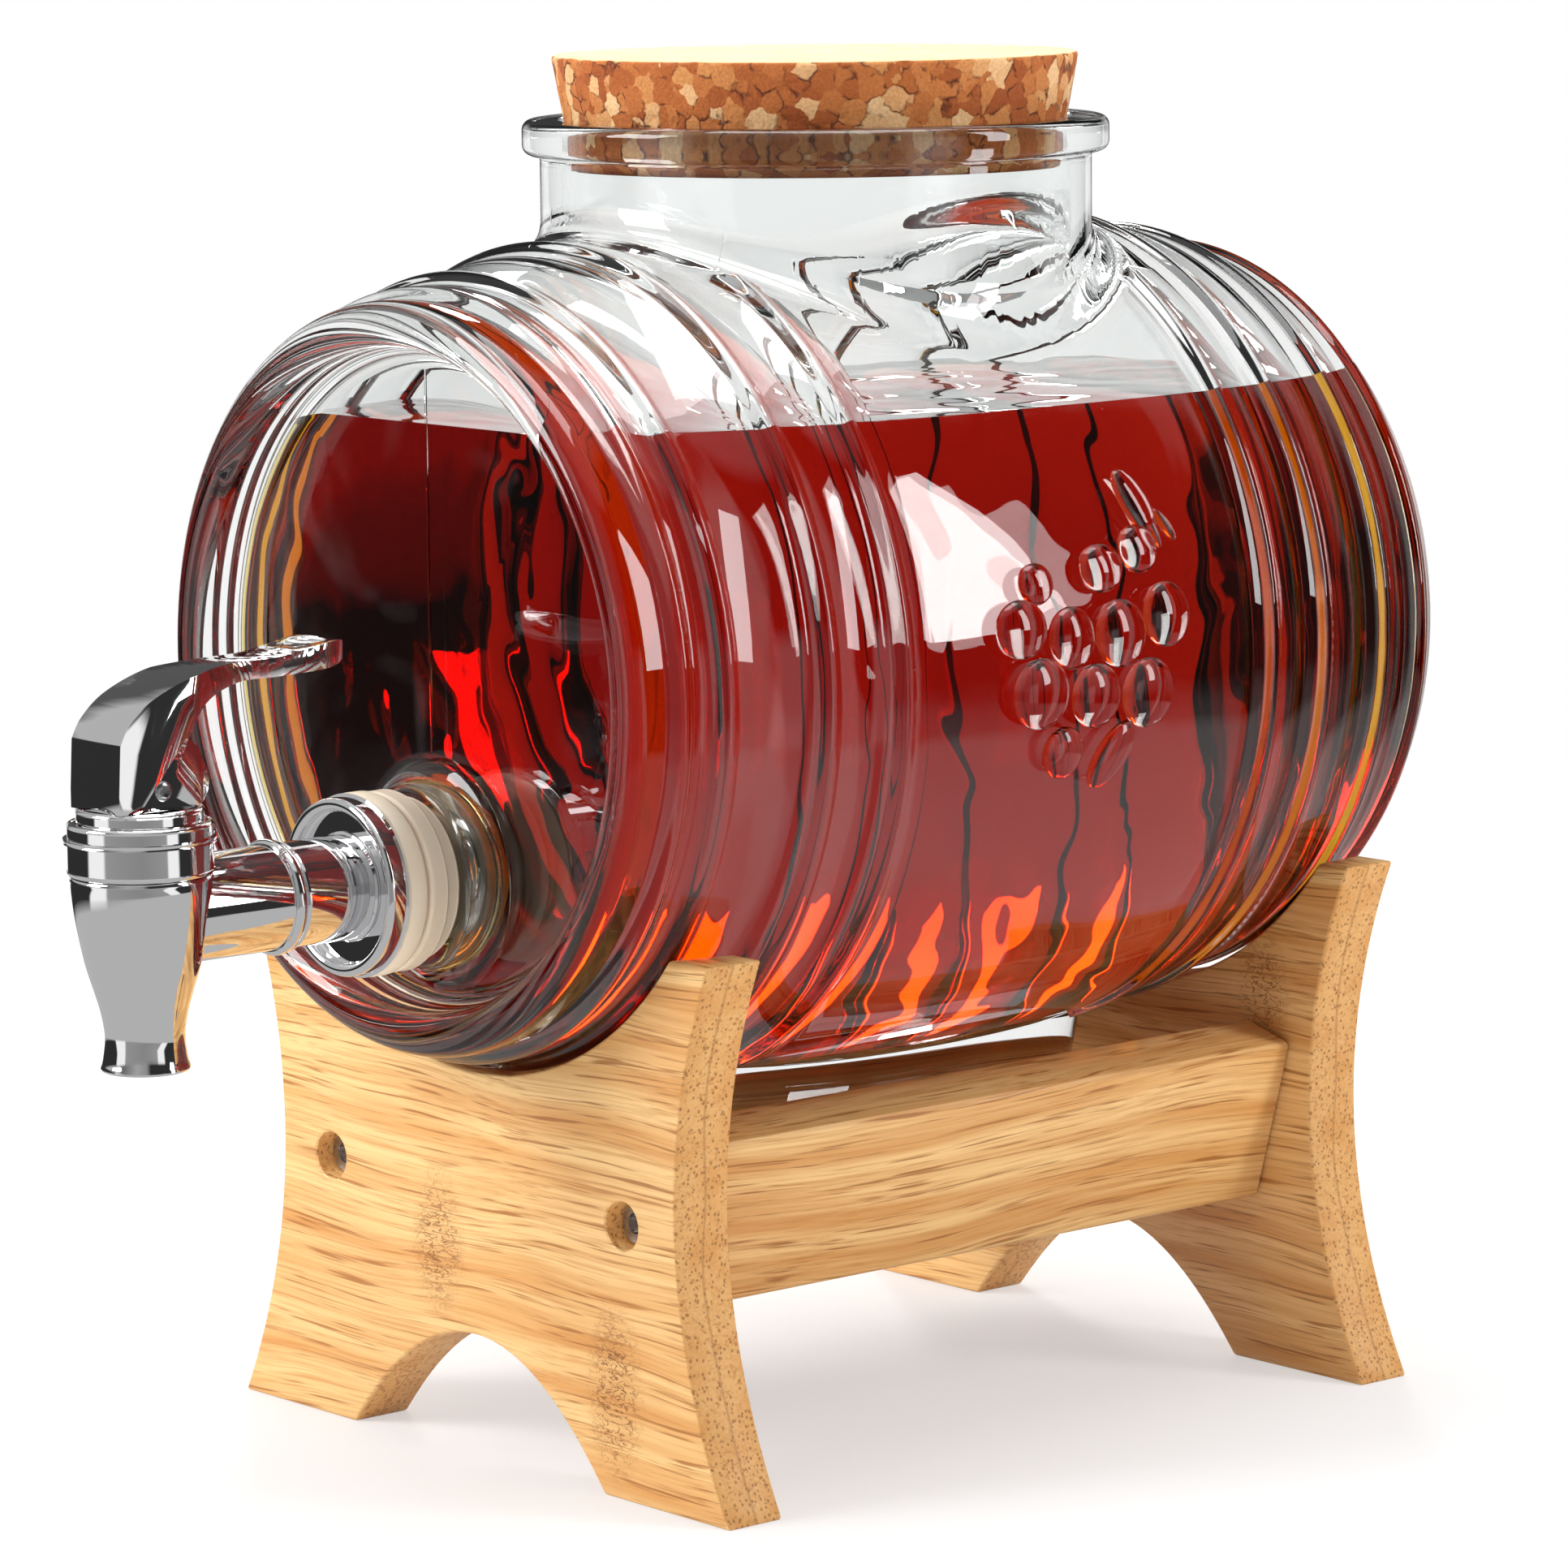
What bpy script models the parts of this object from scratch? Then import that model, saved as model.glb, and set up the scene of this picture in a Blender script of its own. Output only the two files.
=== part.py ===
"""Glass barrel drink dispenser on a bamboo stand.

A clear pressed-glass barrel lies across two bamboo boards that two rails hold apart.  A tapered
cork closes its neck and a chromed spigot with a cam lever is clamped through its front face.
Metres, +Z up, the spigot at -Y, the origin on the table under the middle of the whole object.
"""

import math

import bmesh
import bpy
from mathutils import Matrix, Vector

MM = 0.001
DEGREE = math.radians(1)

# Clearances
FIT_GAP = 0.3 * MM
CUT_OVERRUN = 5 * MM

# Stand, fitted round the barrel
STAND_INSET = 19.2 * MM
BOARD_THICKNESS = 14.4 * MM
HORNS_BELOW_AXIS = 52.2 * MM
HORN_TOP_WIDTH = 12.5 * MM
FOOT_SPLAY = 4.8 * MM
FOOT_WIDTH = 40.2 * MM
WAIST_INSET = 11.5 * MM
WAIST_HEIGHT = 62 * MM
ARCH_HEIGHT = 26.5 * MM
BOARD_EDGE_ROUNDING = 1.2 * MM
RAIL_THICKNESS = 13.8 * MM
RAIL_HEIGHT = 37.6 * MM
RAIL_INSET = 17.1 * MM
RAIL_BELOW_BELLY = 17.2 * MM
RAIL_TILT = 16 * DEGREE
RAIL_EDGE_ROUNDING = 1 * MM
COUNTERBORE_RADIUS = 5 * MM
COUNTERBORE_DEPTH = 7.5 * MM
SCREW_HEAD_RADIUS = 4.2 * MM
SCREW_HEAD_HEIGHT = 3.4 * MM
SCREW_RADIUS = 2.2 * MM
SCREW_GRIP_IN_RAIL = 28 * MM
SCREW_SOCKET_RADIUS = 2.3 * MM
SCREW_SOCKET_DEPTH = 1.8 * MM
DOWEL_RADIUS = 3 * MM
DOWEL_LENGTH = 24 * MM
DOWEL_DEPTH_IN_BOARD = 9 * MM
DOWEL_BELOW_SCREW = 11 * MM
DOWEL_CHAMFER = 0.6 * MM

# Glass barrel, its bead and hoops placed from its ends
BARREL_AXIS_HEIGHT = 167.2 * MM
BELLY_RADIUS = 92.2 * MM
BARREL_END_RADIUS = 77.1 * MM
BARREL_HALF_LENGTH = 117.4 * MM
BELLY_EXPONENT = 2.5
GLASS_WALL = 4.2 * MM
RIM_DEPTH = 4.8 * MM
RIM_WIDTH = 9.6 * MM
RIM_STAND_OUT = 1.4 * MM
FACE_RECESS = 10.8 * MM
FACE_CORNER = 5 * MM
INSIDE_CORNER = 11 * MM
REAR_CORNER_INSET = 11.3 * MM
HOOP_HALF_WIDTH = 3.1 * MM
HOOP_STAND_OUT = 1.5 * MM
RIM_BEAD_INSET = 12 * MM
FRONT_HOOP_INSET = 21.6 * MM
REAR_HOOP_INSET = 27.8 * MM
OUTER_HOOP_SPACING = 22.8 * MM
INNER_HOOP_SPACING = 18 * MM
TAP_BOSS_RADIUS = 19 * MM
TAP_BOSS_FLARE = 4.5 * MM
TAP_BOSS_STAND_OUT = 6.2 * MM
TAP_BELOW_AXIS = 41.2 * MM

# Pressed foot under the belly
PEDESTAL_HALF_WIDTH = 33 * MM
PEDESTAL_HALF_LENGTH = 62 * MM
PEDESTAL_DROP = 15 * MM
PEDESTAL_FLARE = 17 * MM
PEDESTAL_BAND = 8 * MM
PEDESTAL_DISH_DEPTH = 2.5 * MM

# Neck and cork
NECK_RADIUS = 59.4 * MM
NECK_WALL = 4.8 * MM
NECK_RISE = 19.8 * MM
NECK_RIM_RADIUS = 63.2 * MM
NECK_RIM_HEIGHT = 7.6 * MM
NECK_RIM_ROUNDING = 2.2 * MM
MOUTH_CHAMFER = 1.2 * MM
CORK_TOP_RADIUS = 56.8 * MM
CORK_ABOVE_MOUTH = 13.6 * MM
CORK_IN_NECK = 10.4 * MM
CORK_EDGE = 0.8 * MM

# Spigot body, heights measured from the shank's axis
BODY_SHOULDER_HEIGHT = 8.3 * MM
BODY_NECK_HEIGHT = 15 * MM
BODY_NECK_RADIUS = 11.9 * MM
BODY_RADIUS = 14.2 * MM
NOZZLE_WAIST_RADIUS = 8.1 * MM
NOZZLE_LIP_RADIUS = 9.1 * MM
NOZZLE_DROP = 31.6 * MM
NOZZLE_BORE_RADIUS = 5.8 * MM
CHAMBER_RADIUS = 9 * MM
SEAT_BELOW_SHANK = 11.5 * MM
SHANK_RADIUS = 10.9 * MM
SHANK_BORE_RADIUS = 5.4 * MM
SHANK_LENGTH = 33.2 * MM
SHANK_BEAD_RADIUS = 12 * MM
SHANK_BEAD_HALF_WIDTH = 1.5 * MM
THREAD_RADIUS = 8 * MM
THREAD_PAST_NUT = 3 * MM

# Stack on the threaded shank, thicknesses along the barrel's axis
SLEEVE_LENGTH = 17.2 * MM
FLANGE_RADIUS = 18.6 * MM
FLANGE_THICKNESS = 4.4 * MM
FLANGE_FLOOR = 1.8 * MM
FLANGE_LIP = 2.6 * MM
OUTER_GASKET_RADIUS = 19.2 * MM
OUTER_GASKET_THICKNESS = 5.2 * MM
INNER_GASKET_RADIUS = 18.9 * MM
INNER_GASKET_THICKNESS = 8.9 * MM
INNER_GASKET_NOSE_RADIUS = 17 * MM
INNER_GASKET_NOSE = 4.2 * MM
GASKET_EDGE = 1.1 * MM
REAR_GASKET_RADIUS = 13 * MM
REAR_GASKET_THICKNESS = 3 * MM
REAR_WASHER_RADIUS = 14 * MM
REAR_WASHER_THICKNESS = 1.5 * MM
NUT_ACROSS_FLATS = 23 * MM
NUT_THICKNESS = 7 * MM
NUT_CHAMFER = 1 * MM

# Bonnet, stem and spring
BONNET_RADIUS = 14.7 * MM
BONNET_HEIGHT = 10.5 * MM
BONNET_GROOVE = 0.5 * MM
BONNET_GROOVE_HEIGHT = 6.9 * MM
BONNET_CAP_RADIUS = 12.8 * MM
BONNET_CAP_HEIGHT = 2.7 * MM
BONNET_EDGE = 0.8 * MM
STEM_SEAL_THICKNESS = 1.6 * MM
STEM_RADIUS = 2.4 * MM
STEM_EYE_RADIUS = 3.4 * MM
STEM_EYE_HALF_WIDTH = 3 * MM
STEM_COLLAR_RADIUS = 6.8 * MM
STEM_COLLAR_HEIGHT = 1.6 * MM
SEAT_CUP_RADIUS = 7.6 * MM
SEAT_CUP_HEIGHT = 4.6 * MM
SEAT_CUP_FLOOR = 2 * MM
SPRING_WIRE_RADIUS = 0.5 * MM
SPRING_MEAN_RADIUS = 5.2 * MM
SPRING_END_PITCH = 1.55 * MM
SPRING_END_TURNS = 1
SPRING_ACTIVE_TURNS = 6
SPRING_POINTS_PER_TURN = 9

# Cam lever, lengths measured from its pin
PIN_ABOVE_CAP = 4.2 * MM
PIN_RADIUS = 1.5 * MM
LEVER_WIDTH = 17 * MM
LEVER_FRONT = 10.7 * MM
LEVER_BLOCK_TOP = 8 * MM
HEEL_RADIUS = 5 * MM
HEEL_OFFSET = 6.8 * MM
LEVER_REACH = 49.8 * MM
LEVER_RISE = 26.2 * MM
LEVER_ARM_WIDTH = 11.6 * MM
LEVER_TIP_WIDTH = 14 * MM
LEVER_EDGE_ROUNDING = 0.9 * MM
SLOT_HALF_LENGTH = 4.8 * MM
THUMB_DIMPLE_LENGTH = 9 * MM
THUMB_DIMPLE_WIDTH = 4.6 * MM
THUMB_DIMPLE_DEPTH = 1.1 * MM

# Facets round each kind of turned piece
BARREL_SEGMENTS = 36
TURNED_SEGMENTS = 28
SMALL_SEGMENTS = 16


# Curve of the barrel's outside

def belly_radius(offset):
    """The smooth outside radius of the barrel at a distance from its middle."""
    end = BARREL_HALF_LENGTH - RIM_DEPTH
    fall = BELLY_RADIUS - BARREL_END_RADIUS
    return BELLY_RADIUS - fall * (abs(offset) / end) ** BELLY_EXPONENT


def belly_lean(offset):
    """The angle between the belly's outside and the barrel's axis."""
    end = BARREL_HALF_LENGTH - RIM_DEPTH
    fall = BELLY_RADIUS - BARREL_END_RADIUS
    return math.atan(BELLY_EXPONENT * fall / end * (offset / end) ** (BELLY_EXPONENT - 1))


def hoop_crest(offset):
    return belly_radius(offset) + HOOP_STAND_OUT


def hoop_offsets(first_inset):
    """The three hoops of one end as distances from the barrel's middle."""
    first = BARREL_HALF_LENGTH - first_inset
    second = first - OUTER_HOOP_SPACING
    return first, second, second - INNER_HOOP_SPACING


# Places that follow from the sizes above
FRONT_HOOP_OFFSETS = hoop_offsets(FRONT_HOOP_INSET)
REAR_HOOP_OFFSETS = hoop_offsets(REAR_HOOP_INSET)
RIM_BEAD_OFFSET = BARREL_HALF_LENGTH - RIM_BEAD_INSET
REAR_CORNER_START = BARREL_HALF_LENGTH - REAR_CORNER_INSET
REAR_CORNER_LEAN = belly_lean(REAR_CORNER_START)
REAR_CORNER = REAR_CORNER_INSET / (1 - math.sin(REAR_CORNER_LEAN))
REAR_CORNER_CENTRE = (belly_radius(REAR_CORNER_START) - REAR_CORNER * math.cos(REAR_CORNER_LEAN),
                      BARREL_HALF_LENGTH - REAR_CORNER)
NECK_TOP = BELLY_RADIUS + NECK_RISE
PEDESTAL_BOTTOM = -BELLY_RADIUS - PEDESTAL_DROP
STAND_LENGTH = 2 * (BARREL_HALF_LENGTH - STAND_INSET)
BOARD_HEIGHT = BARREL_AXIS_HEIGHT - HORNS_BELOW_AXIS
CRADLE_RADIUS = hoop_crest(FRONT_HOOP_OFFSETS[0]) + FIT_GAP
CRADLE_HALF_WIDTH = math.sqrt(CRADLE_RADIUS ** 2 - HORNS_BELOW_AXIS ** 2)
HORN_HALF_WIDTH = CRADLE_HALF_WIDTH + HORN_TOP_WIDTH
FOOT_HALF_WIDTH = HORN_HALF_WIDTH + FOOT_SPLAY
WAIST_HALF_WIDTH = HORN_HALF_WIDTH - WAIST_INSET
ARCH_HALF_WIDTH = FOOT_HALF_WIDTH - FOOT_WIDTH
RAIL_CENTRE_X = WAIST_HALF_WIDTH - RAIL_INSET
RAIL_CENTRE_Z = BARREL_AXIS_HEIGHT - BELLY_RADIUS - RAIL_BELOW_BELLY
BORE_RADIUS = THREAD_RADIUS + FIT_GAP
STACK_LENGTH = (SHANK_LENGTH + FIT_GAP + SLEEVE_LENGTH + FIT_GAP + FLANGE_FLOOR + FIT_GAP
                + OUTER_GASKET_THICKNESS + FIT_GAP + INNER_GASKET_THICKNESS + FIT_GAP)
FACE_OFFSET = BARREL_HALF_LENGTH - FACE_RECESS
TAP_AXIS_OFFSET = FACE_OFFSET + TAP_BOSS_STAND_OUT + STACK_LENGTH
FRONT_EDGE = TAP_AXIS_OFFSET + BONNET_RADIUS
BARREL_MIDDLE_Y = (FRONT_EDGE - BARREL_HALF_LENGTH) / 2
CAP_TOP = BODY_SHOULDER_HEIGHT + FIT_GAP + BONNET_HEIGHT + BONNET_CAP_HEIGHT
PIN_HEIGHT = CAP_TOP + PIN_ABOVE_CAP
BOARD_MIDDLE_OFFSET = (STAND_LENGTH - BOARD_THICKNESS) / 2


# Materials

def material(name, colour, roughness, metallic=0.0, transmission=0.0, ior=1.45):
    made = bpy.data.materials.new(name)
    made.use_nodes = True
    shader = made.node_tree.nodes["Principled BSDF"]
    shader.inputs["Base Color"].default_value = (*colour, 1)
    shader.inputs["Roughness"].default_value = roughness
    shader.inputs["Metallic"].default_value = metallic
    shader.inputs["Transmission Weight"].default_value = transmission
    shader.inputs["IOR"].default_value = ior
    return made


def make_materials():
    return {
        "bamboo": material("bamboo", (0.78, 0.52, 0.25), 0.5),
        "glass": material("clear glass", (0.95, 0.97, 0.96), 0.02, transmission=1.0, ior=1.5),
        "cork": material("agglomerated cork", (0.55, 0.30, 0.13), 0.85),
        "chrome": material("chromed plating", (0.86, 0.86, 0.87), 0.06, metallic=1.0),
        "silicone": material("ivory silicone", (0.85, 0.80, 0.68), 0.45),
        "steel": material("stainless steel", (0.62, 0.62, 0.61), 0.3, metallic=1.0),
        "plastic": material("white acetal", (0.85, 0.85, 0.83), 0.4),
        "beech": material("beech dowel", (0.72, 0.53, 0.34), 0.6),
    }


# Construction helpers

def empty(name, location, parent=None):
    made = bpy.data.objects.new(name, None)
    made.location = location
    made.parent = parent
    bpy.context.collection.objects.link(made)
    return made


def new_object(name, bm, look, parent, location=(0, 0, 0), rotation=(0, 0, 0)):
    bmesh.ops.recalc_face_normals(bm, faces=bm.faces)
    mesh = bpy.data.meshes.new(name)
    bm.to_mesh(mesh)
    bm.free()
    made = bpy.data.objects.new(name, mesh)
    made.location = location
    made.rotation_euler = rotation
    made.parent = parent
    if look is not None:
        mesh.materials.append(look)
    bpy.context.collection.objects.link(made)
    return made


def shade(piece, angle=35 * DEGREE):
    piece.data.shade_smooth()
    piece.data.set_sharp_from_angle(angle=angle)


def turned_mesh(profile, segments, closed=False):
    """A mesh turned about Z from (radius, height) points; a closed profile makes a ring."""
    bm = bmesh.new()
    verts = [bm.verts.new((radius, 0, height)) for radius, height in profile]
    edges = [bm.edges.new(pair) for pair in zip(verts, verts[1:])]
    if closed:
        edges.append(bm.edges.new((verts[-1], verts[0])))
    bmesh.ops.spin(bm, geom=verts + edges, cent=(0, 0, 0), axis=(0, 0, 1), dvec=(0, 0, 0),
                   angle=math.tau, steps=segments, use_merge=True, use_duplicate=False)
    bmesh.ops.remove_doubles(bm, verts=bm.verts, dist=MM / 1000)
    return bm


def turned(name, profile, look, parent, segments=TURNED_SEGMENTS, closed=False, along_y=False,
           location=(0, 0, 0)):
    """A turned piece; along_y lays it down so that its heights run along +Y."""
    bm = turned_mesh(profile, segments, closed)
    rotation = (-math.pi / 2, 0, 0) if along_y else (0, 0, 0)
    return new_object(name, bm, look, parent, location, rotation)


def ring_profile(outer, inner, start, end, edge=0.0):
    """A ring's closed (radius, height) profile, its outer corners cut by edge."""
    if not edge:
        return [(inner, start), (outer, start), (outer, end), (inner, end)]
    return [(inner, start), (outer - edge, start), (outer, start + edge), (outer, end - edge),
            (outer - edge, end), (inner, end)]


def extruded(name, outline, depth, look, parent, axis, location=(0, 0, 0)):
    """An outline in the plane square to axis ('X' or 'Y'), extruded by depth about its middle."""
    bm = bmesh.new()
    if axis == "X":
        verts = [bm.verts.new((-depth / 2, a, b)) for a, b in outline]
        travel = Vector((depth, 0, 0))
    else:
        verts = [bm.verts.new((a, -depth / 2, b)) for a, b in outline]
        travel = Vector((0, depth, 0))
    face = bm.faces.new(verts)
    grown = bmesh.ops.extrude_face_region(bm, geom=[face])["geom"]
    bmesh.ops.translate(bm, vec=travel, verts=[v for v in grown if isinstance(v, bmesh.types.BMVert)])
    return new_object(name, bm, look, parent, location)


def boolean(piece, tool, operation):
    """Joins or cuts with another object, which the build then leaves out as a guide."""
    modifier = piece.modifiers.new(f"{operation} {tool.name}", "BOOLEAN")
    modifier.operation = operation
    modifier.object = tool
    tool.hide_render = True
    tool.display_type = "WIRE"
    return modifier


def bevel(piece, width, segments=2, angle=40 * DEGREE):
    modifier = piece.modifiers.new("Edge rounding", "BEVEL")
    modifier.width = width
    modifier.segments = segments
    modifier.limit_method = "ANGLE"
    modifier.angle_limit = angle
    return modifier


def arc(centre, radii, start, end, steps):
    """Points on an ellipse's arc, angles in degrees from the first axis."""
    for step in range(steps + 1):
        angle = (start + (end - start) * step / steps) * DEGREE
        yield centre[0] + radii[0] * math.cos(angle), centre[1] + radii[1] * math.sin(angle)


def smooth_through(points, steps):
    """A Catmull-Rom curve through points, steps to a span, without its last point."""
    made = []
    for index in range(len(points) - 1):
        before = Vector(points[max(index - 1, 0)])
        start = Vector(points[index])
        end = Vector(points[index + 1])
        after = Vector(points[min(index + 2, len(points) - 1)])
        for step in range(steps):
            t = step / steps
            made.append(tuple((start * 2 + (end - before) * t
                               + (before * 2 - start * 5 + end * 4 - after) * t ** 2
                               + (start * 3 - before - end * 3 + after) * t ** 3) / 2))
    return made


# Glass barrel

def ridges(hoops):
    """The bead and the hoops of one end, (radius, distance from the barrel's middle)."""
    points = []
    for middle in (RIM_BEAD_OFFSET, *hoops):
        for place_share, height_share in ((1, 0), (0.5, 0.85), (-0.5, 0.85), (-1, 0)):
            place = middle + place_share * HOOP_HALF_WIDTH
            points.append((belly_radius(place) + height_share * HOOP_STAND_OUT, place))
    return points


def rear_corner(inset, lean, steps):
    """The rounded rear end from its flat face down to a lean, or a surface that far inside it."""
    size = REAR_CORNER - inset
    return list(arc(REAR_CORNER_CENTRE, (size, size), 90, lean / DEGREE, steps))


def barrel_outline():
    """The outside, (radius, position) from the centre of the front face to that of the rear."""
    rim_inner = BARREL_END_RADIUS + RIM_STAND_OUT - RIM_WIDTH
    rim_middle = rim_inner + RIM_WIDTH / 2
    front_end = [(0, FACE_OFFSET)]
    corner_centre = (rim_inner - FACE_CORNER, FACE_OFFSET + FACE_CORNER)
    front_end += arc(corner_centre, (FACE_CORNER, FACE_CORNER), -90, 0, 2)
    front_end += arc((rim_middle, BARREL_HALF_LENGTH - RIM_DEPTH), (RIM_WIDTH / 2, RIM_DEPTH), 180, 0, 5)
    front = [(radius, -place) for radius, place in front_end + ridges(FRONT_HOOP_OFFSETS)]

    bead_edge = RIM_BEAD_OFFSET + HOOP_HALF_WIDTH
    bead_lean = math.asin((bead_edge - REAR_CORNER_CENTRE[1]) / REAR_CORNER)
    rear_end = [(0, BARREL_HALF_LENGTH)] + rear_corner(0, bead_lean, 5)[:-1]
    rear = (rear_end + ridges(REAR_HOOP_OFFSETS))[::-1]

    start = front[-1][1]
    end = rear[0][1]
    belly_steps = 4
    belly = []
    for step in range(1, belly_steps):
        place = start + (end - start) * step / belly_steps
        belly.append((belly_radius(place), place))
    return front + belly + rear


def barrel_hollow():
    """The smooth inside, (radius, position), one wall inside the belly and the end faces."""
    front_face = FACE_OFFSET - GLASS_WALL
    corner_place = front_face - INSIDE_CORNER
    corner_radius = belly_radius(corner_place) - GLASS_WALL
    corner = arc((corner_radius - INSIDE_CORNER, corner_place), (INSIDE_CORNER, INSIDE_CORNER), 90, 0, 3)
    front = [(0, -front_face)] + [(radius, -place) for radius, place in corner]
    rear = rear_corner(GLASS_WALL, REAR_CORNER_LEAN, 4)[::-1] + [(0, BARREL_HALF_LENGTH - GLASS_WALL)]
    start = front[-1][1]
    end = rear[0][1]
    side_steps = 6
    side = []
    for step in range(1, side_steps):
        place = start + (end - start) * step / side_steps
        side.append((belly_radius(place) - GLASS_WALL, place))
    return front + side + rear


def oval(half_width, half_length, height, count=24, squareness=2.6):
    """A rounded rectangle's points as a superellipse."""
    points = []
    for index in range(count):
        angle = math.tau * index / count
        cosine = math.cos(angle)
        sine = math.sin(angle)
        x = half_width * math.copysign(abs(cosine) ** (2 / squareness), cosine)
        y = half_length * math.copysign(abs(sine) ** (2 / squareness), sine)
        points.append((x, y, height))
    return points


def lofted(name, rings, look, parent):
    """A closed solid through rings of like count, capped at both ends."""
    bm = bmesh.new()
    loops = [[bm.verts.new(point) for point in ring] for ring in rings]
    for lower, upper in zip(loops, loops[1:]):
        for index in range(len(lower)):
            following = (index + 1) % len(lower)
            bm.faces.new((lower[index], lower[following], upper[following], upper[index]))
    bm.faces.new(loops[0][::-1])
    bm.faces.new(loops[-1])
    return new_object(name, bm, look, parent)


def pedestal_rings():
    """Rings from the foot's underside up to inside the belly, flaring outward as they rise."""
    rise = -BELLY_RADIUS / 2 - PEDESTAL_BOTTOM
    rings = []
    for rise_share, flare_share in ((0, 0), (0.2, 0.07), (0.4, 0.25), (0.65, 0.65), (1, 1)):
        flare = PEDESTAL_FLARE * flare_share
        rings.append(oval(PEDESTAL_HALF_WIDTH + flare, PEDESTAL_HALF_LENGTH + flare,
                          PEDESTAL_BOTTOM + rise * rise_share))
    return rings


def make_barrel(looks, frame):
    glass = turned("barrel_glass", barrel_outline(), looks["glass"], frame,
                   segments=BARREL_SEGMENTS, along_y=True)

    neck_bottom = BELLY_RADIUS / 2
    rim_bottom = NECK_TOP - NECK_RIM_HEIGHT
    turn = NECK_RIM_ROUNDING
    outside = [(0, neck_bottom), (NECK_RADIUS, neck_bottom), (NECK_RADIUS, rim_bottom)]
    outside += arc((NECK_RIM_RADIUS - turn, rim_bottom + turn), (turn, turn), -90, 0, 2)
    outside += arc((NECK_RIM_RADIUS - turn, NECK_TOP - turn), (turn, turn), 0, 90, 2)
    outside.append((0, NECK_TOP))
    boolean(glass, turned("neck outside", outside, None, frame, segments=BARREL_SEGMENTS), "UNION")

    face = -FACE_OFFSET
    boss = [(0, face + GLASS_WALL / 2), (TAP_BOSS_RADIUS + TAP_BOSS_FLARE, face + GLASS_WALL / 2),
            (TAP_BOSS_RADIUS + TAP_BOSS_FLARE, face),
            (TAP_BOSS_RADIUS, face - TAP_BOSS_STAND_OUT * 2 / 3),
            (TAP_BOSS_RADIUS - GASKET_EDGE, face - TAP_BOSS_STAND_OUT), (0, face - TAP_BOSS_STAND_OUT)]
    boolean(glass, turned("tap boss", boss, None, frame, along_y=True,
                          location=(0, 0, -TAP_BELOW_AXIS)), "UNION")
    boolean(glass, lofted("pedestal outside", pedestal_rings(), None, frame), "UNION")

    boolean(glass, turned("barrel hollow", barrel_hollow(), None, frame,
                          segments=BARREL_SEGMENTS, along_y=True), "DIFFERENCE")
    bore = NECK_RADIUS - NECK_WALL
    bore_outline = [(0, neck_bottom), (bore, neck_bottom), (bore, NECK_TOP - MOUTH_CHAMFER),
                    (bore + MOUTH_CHAMFER, NECK_TOP), (bore + MOUTH_CHAMFER, NECK_TOP + CUT_OVERRUN),
                    (0, NECK_TOP + CUT_OVERRUN)]
    boolean(glass, turned("neck bore", bore_outline, None, frame, segments=BARREL_SEGMENTS), "DIFFERENCE")
    hole_start = face - TAP_BOSS_STAND_OUT - CUT_OVERRUN
    hole_end = face + GLASS_WALL + CUT_OVERRUN
    hole = [(0, hole_start), (BORE_RADIUS, hole_start), (BORE_RADIUS, hole_end), (0, hole_end)]
    boolean(glass, turned("tap hole", hole, None, frame, along_y=True,
                          location=(0, 0, -TAP_BELOW_AXIS)), "DIFFERENCE")
    boolean(glass, lofted("pedestal dish", pedestal_dish_rings(), None, frame), "DIFFERENCE")
    shade(glass)
    return glass


def pedestal_dish_rings():
    """The shallow dish under the foot that leaves a flat band round its edge."""
    width = PEDESTAL_HALF_WIDTH - PEDESTAL_BAND
    length = PEDESTAL_HALF_LENGTH - PEDESTAL_BAND
    return [oval(width, length, PEDESTAL_BOTTOM - CUT_OVERRUN), oval(width, length, PEDESTAL_BOTTOM),
            oval(width - PEDESTAL_DISH_DEPTH, length - PEDESTAL_DISH_DEPTH,
                 PEDESTAL_BOTTOM + PEDESTAL_DISH_DEPTH)]


def make_cork(looks, frame):
    """A tapered stopper that wedges at the mouth's edge; its origin is at the mouth."""
    mouth_radius = NECK_RADIUS - NECK_WALL - FIT_GAP
    taper = (CORK_TOP_RADIUS - mouth_radius) / CORK_ABOVE_MOUTH
    bottom_radius = mouth_radius - taper * CORK_IN_NECK
    outline = [(0, -CORK_IN_NECK), (bottom_radius - CORK_EDGE, -CORK_IN_NECK),
               (bottom_radius, CORK_EDGE - CORK_IN_NECK), (CORK_TOP_RADIUS, CORK_ABOVE_MOUTH - CORK_EDGE),
               (CORK_TOP_RADIUS - CORK_EDGE, CORK_ABOVE_MOUTH), (0, CORK_ABOVE_MOUTH)]
    cork = turned("cork_stopper", outline, looks["cork"], frame, segments=BARREL_SEGMENTS,
                  location=(0, 0, NECK_TOP))
    shade(cork)


# Stand

def board_outline(horn_inner):
    """Half of the board's outline from the arch's apex to the horn's inner corner, then mirrored."""
    side_steps = 6
    arch_steps = 7
    half = []
    for step in range(1, arch_steps + 1):
        x = ARCH_HALF_WIDTH * step / arch_steps
        half.append((x, ARCH_HEIGHT * (1 - (x / ARCH_HALF_WIDTH) ** 2)))
    for step in range(side_steps + 1):
        up = 1 - step / side_steps
        spread = (FOOT_HALF_WIDTH - WAIST_HALF_WIDTH) * up ** 2
        half.append((WAIST_HALF_WIDTH + spread, WAIST_HEIGHT * (1 - up)))
    for step in range(1, side_steps + 1):
        up = step / side_steps
        spread = (HORN_HALF_WIDTH - WAIST_HALF_WIDTH) * up ** 2
        half.append((WAIST_HALF_WIDTH + spread, WAIST_HEIGHT + (BOARD_HEIGHT - WAIST_HEIGHT) * up))
    half.append((horn_inner, BOARD_HEIGHT))
    return [(0, ARCH_HEIGHT)] + half + [(-x, z) for x, z in reversed(half)]


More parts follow.
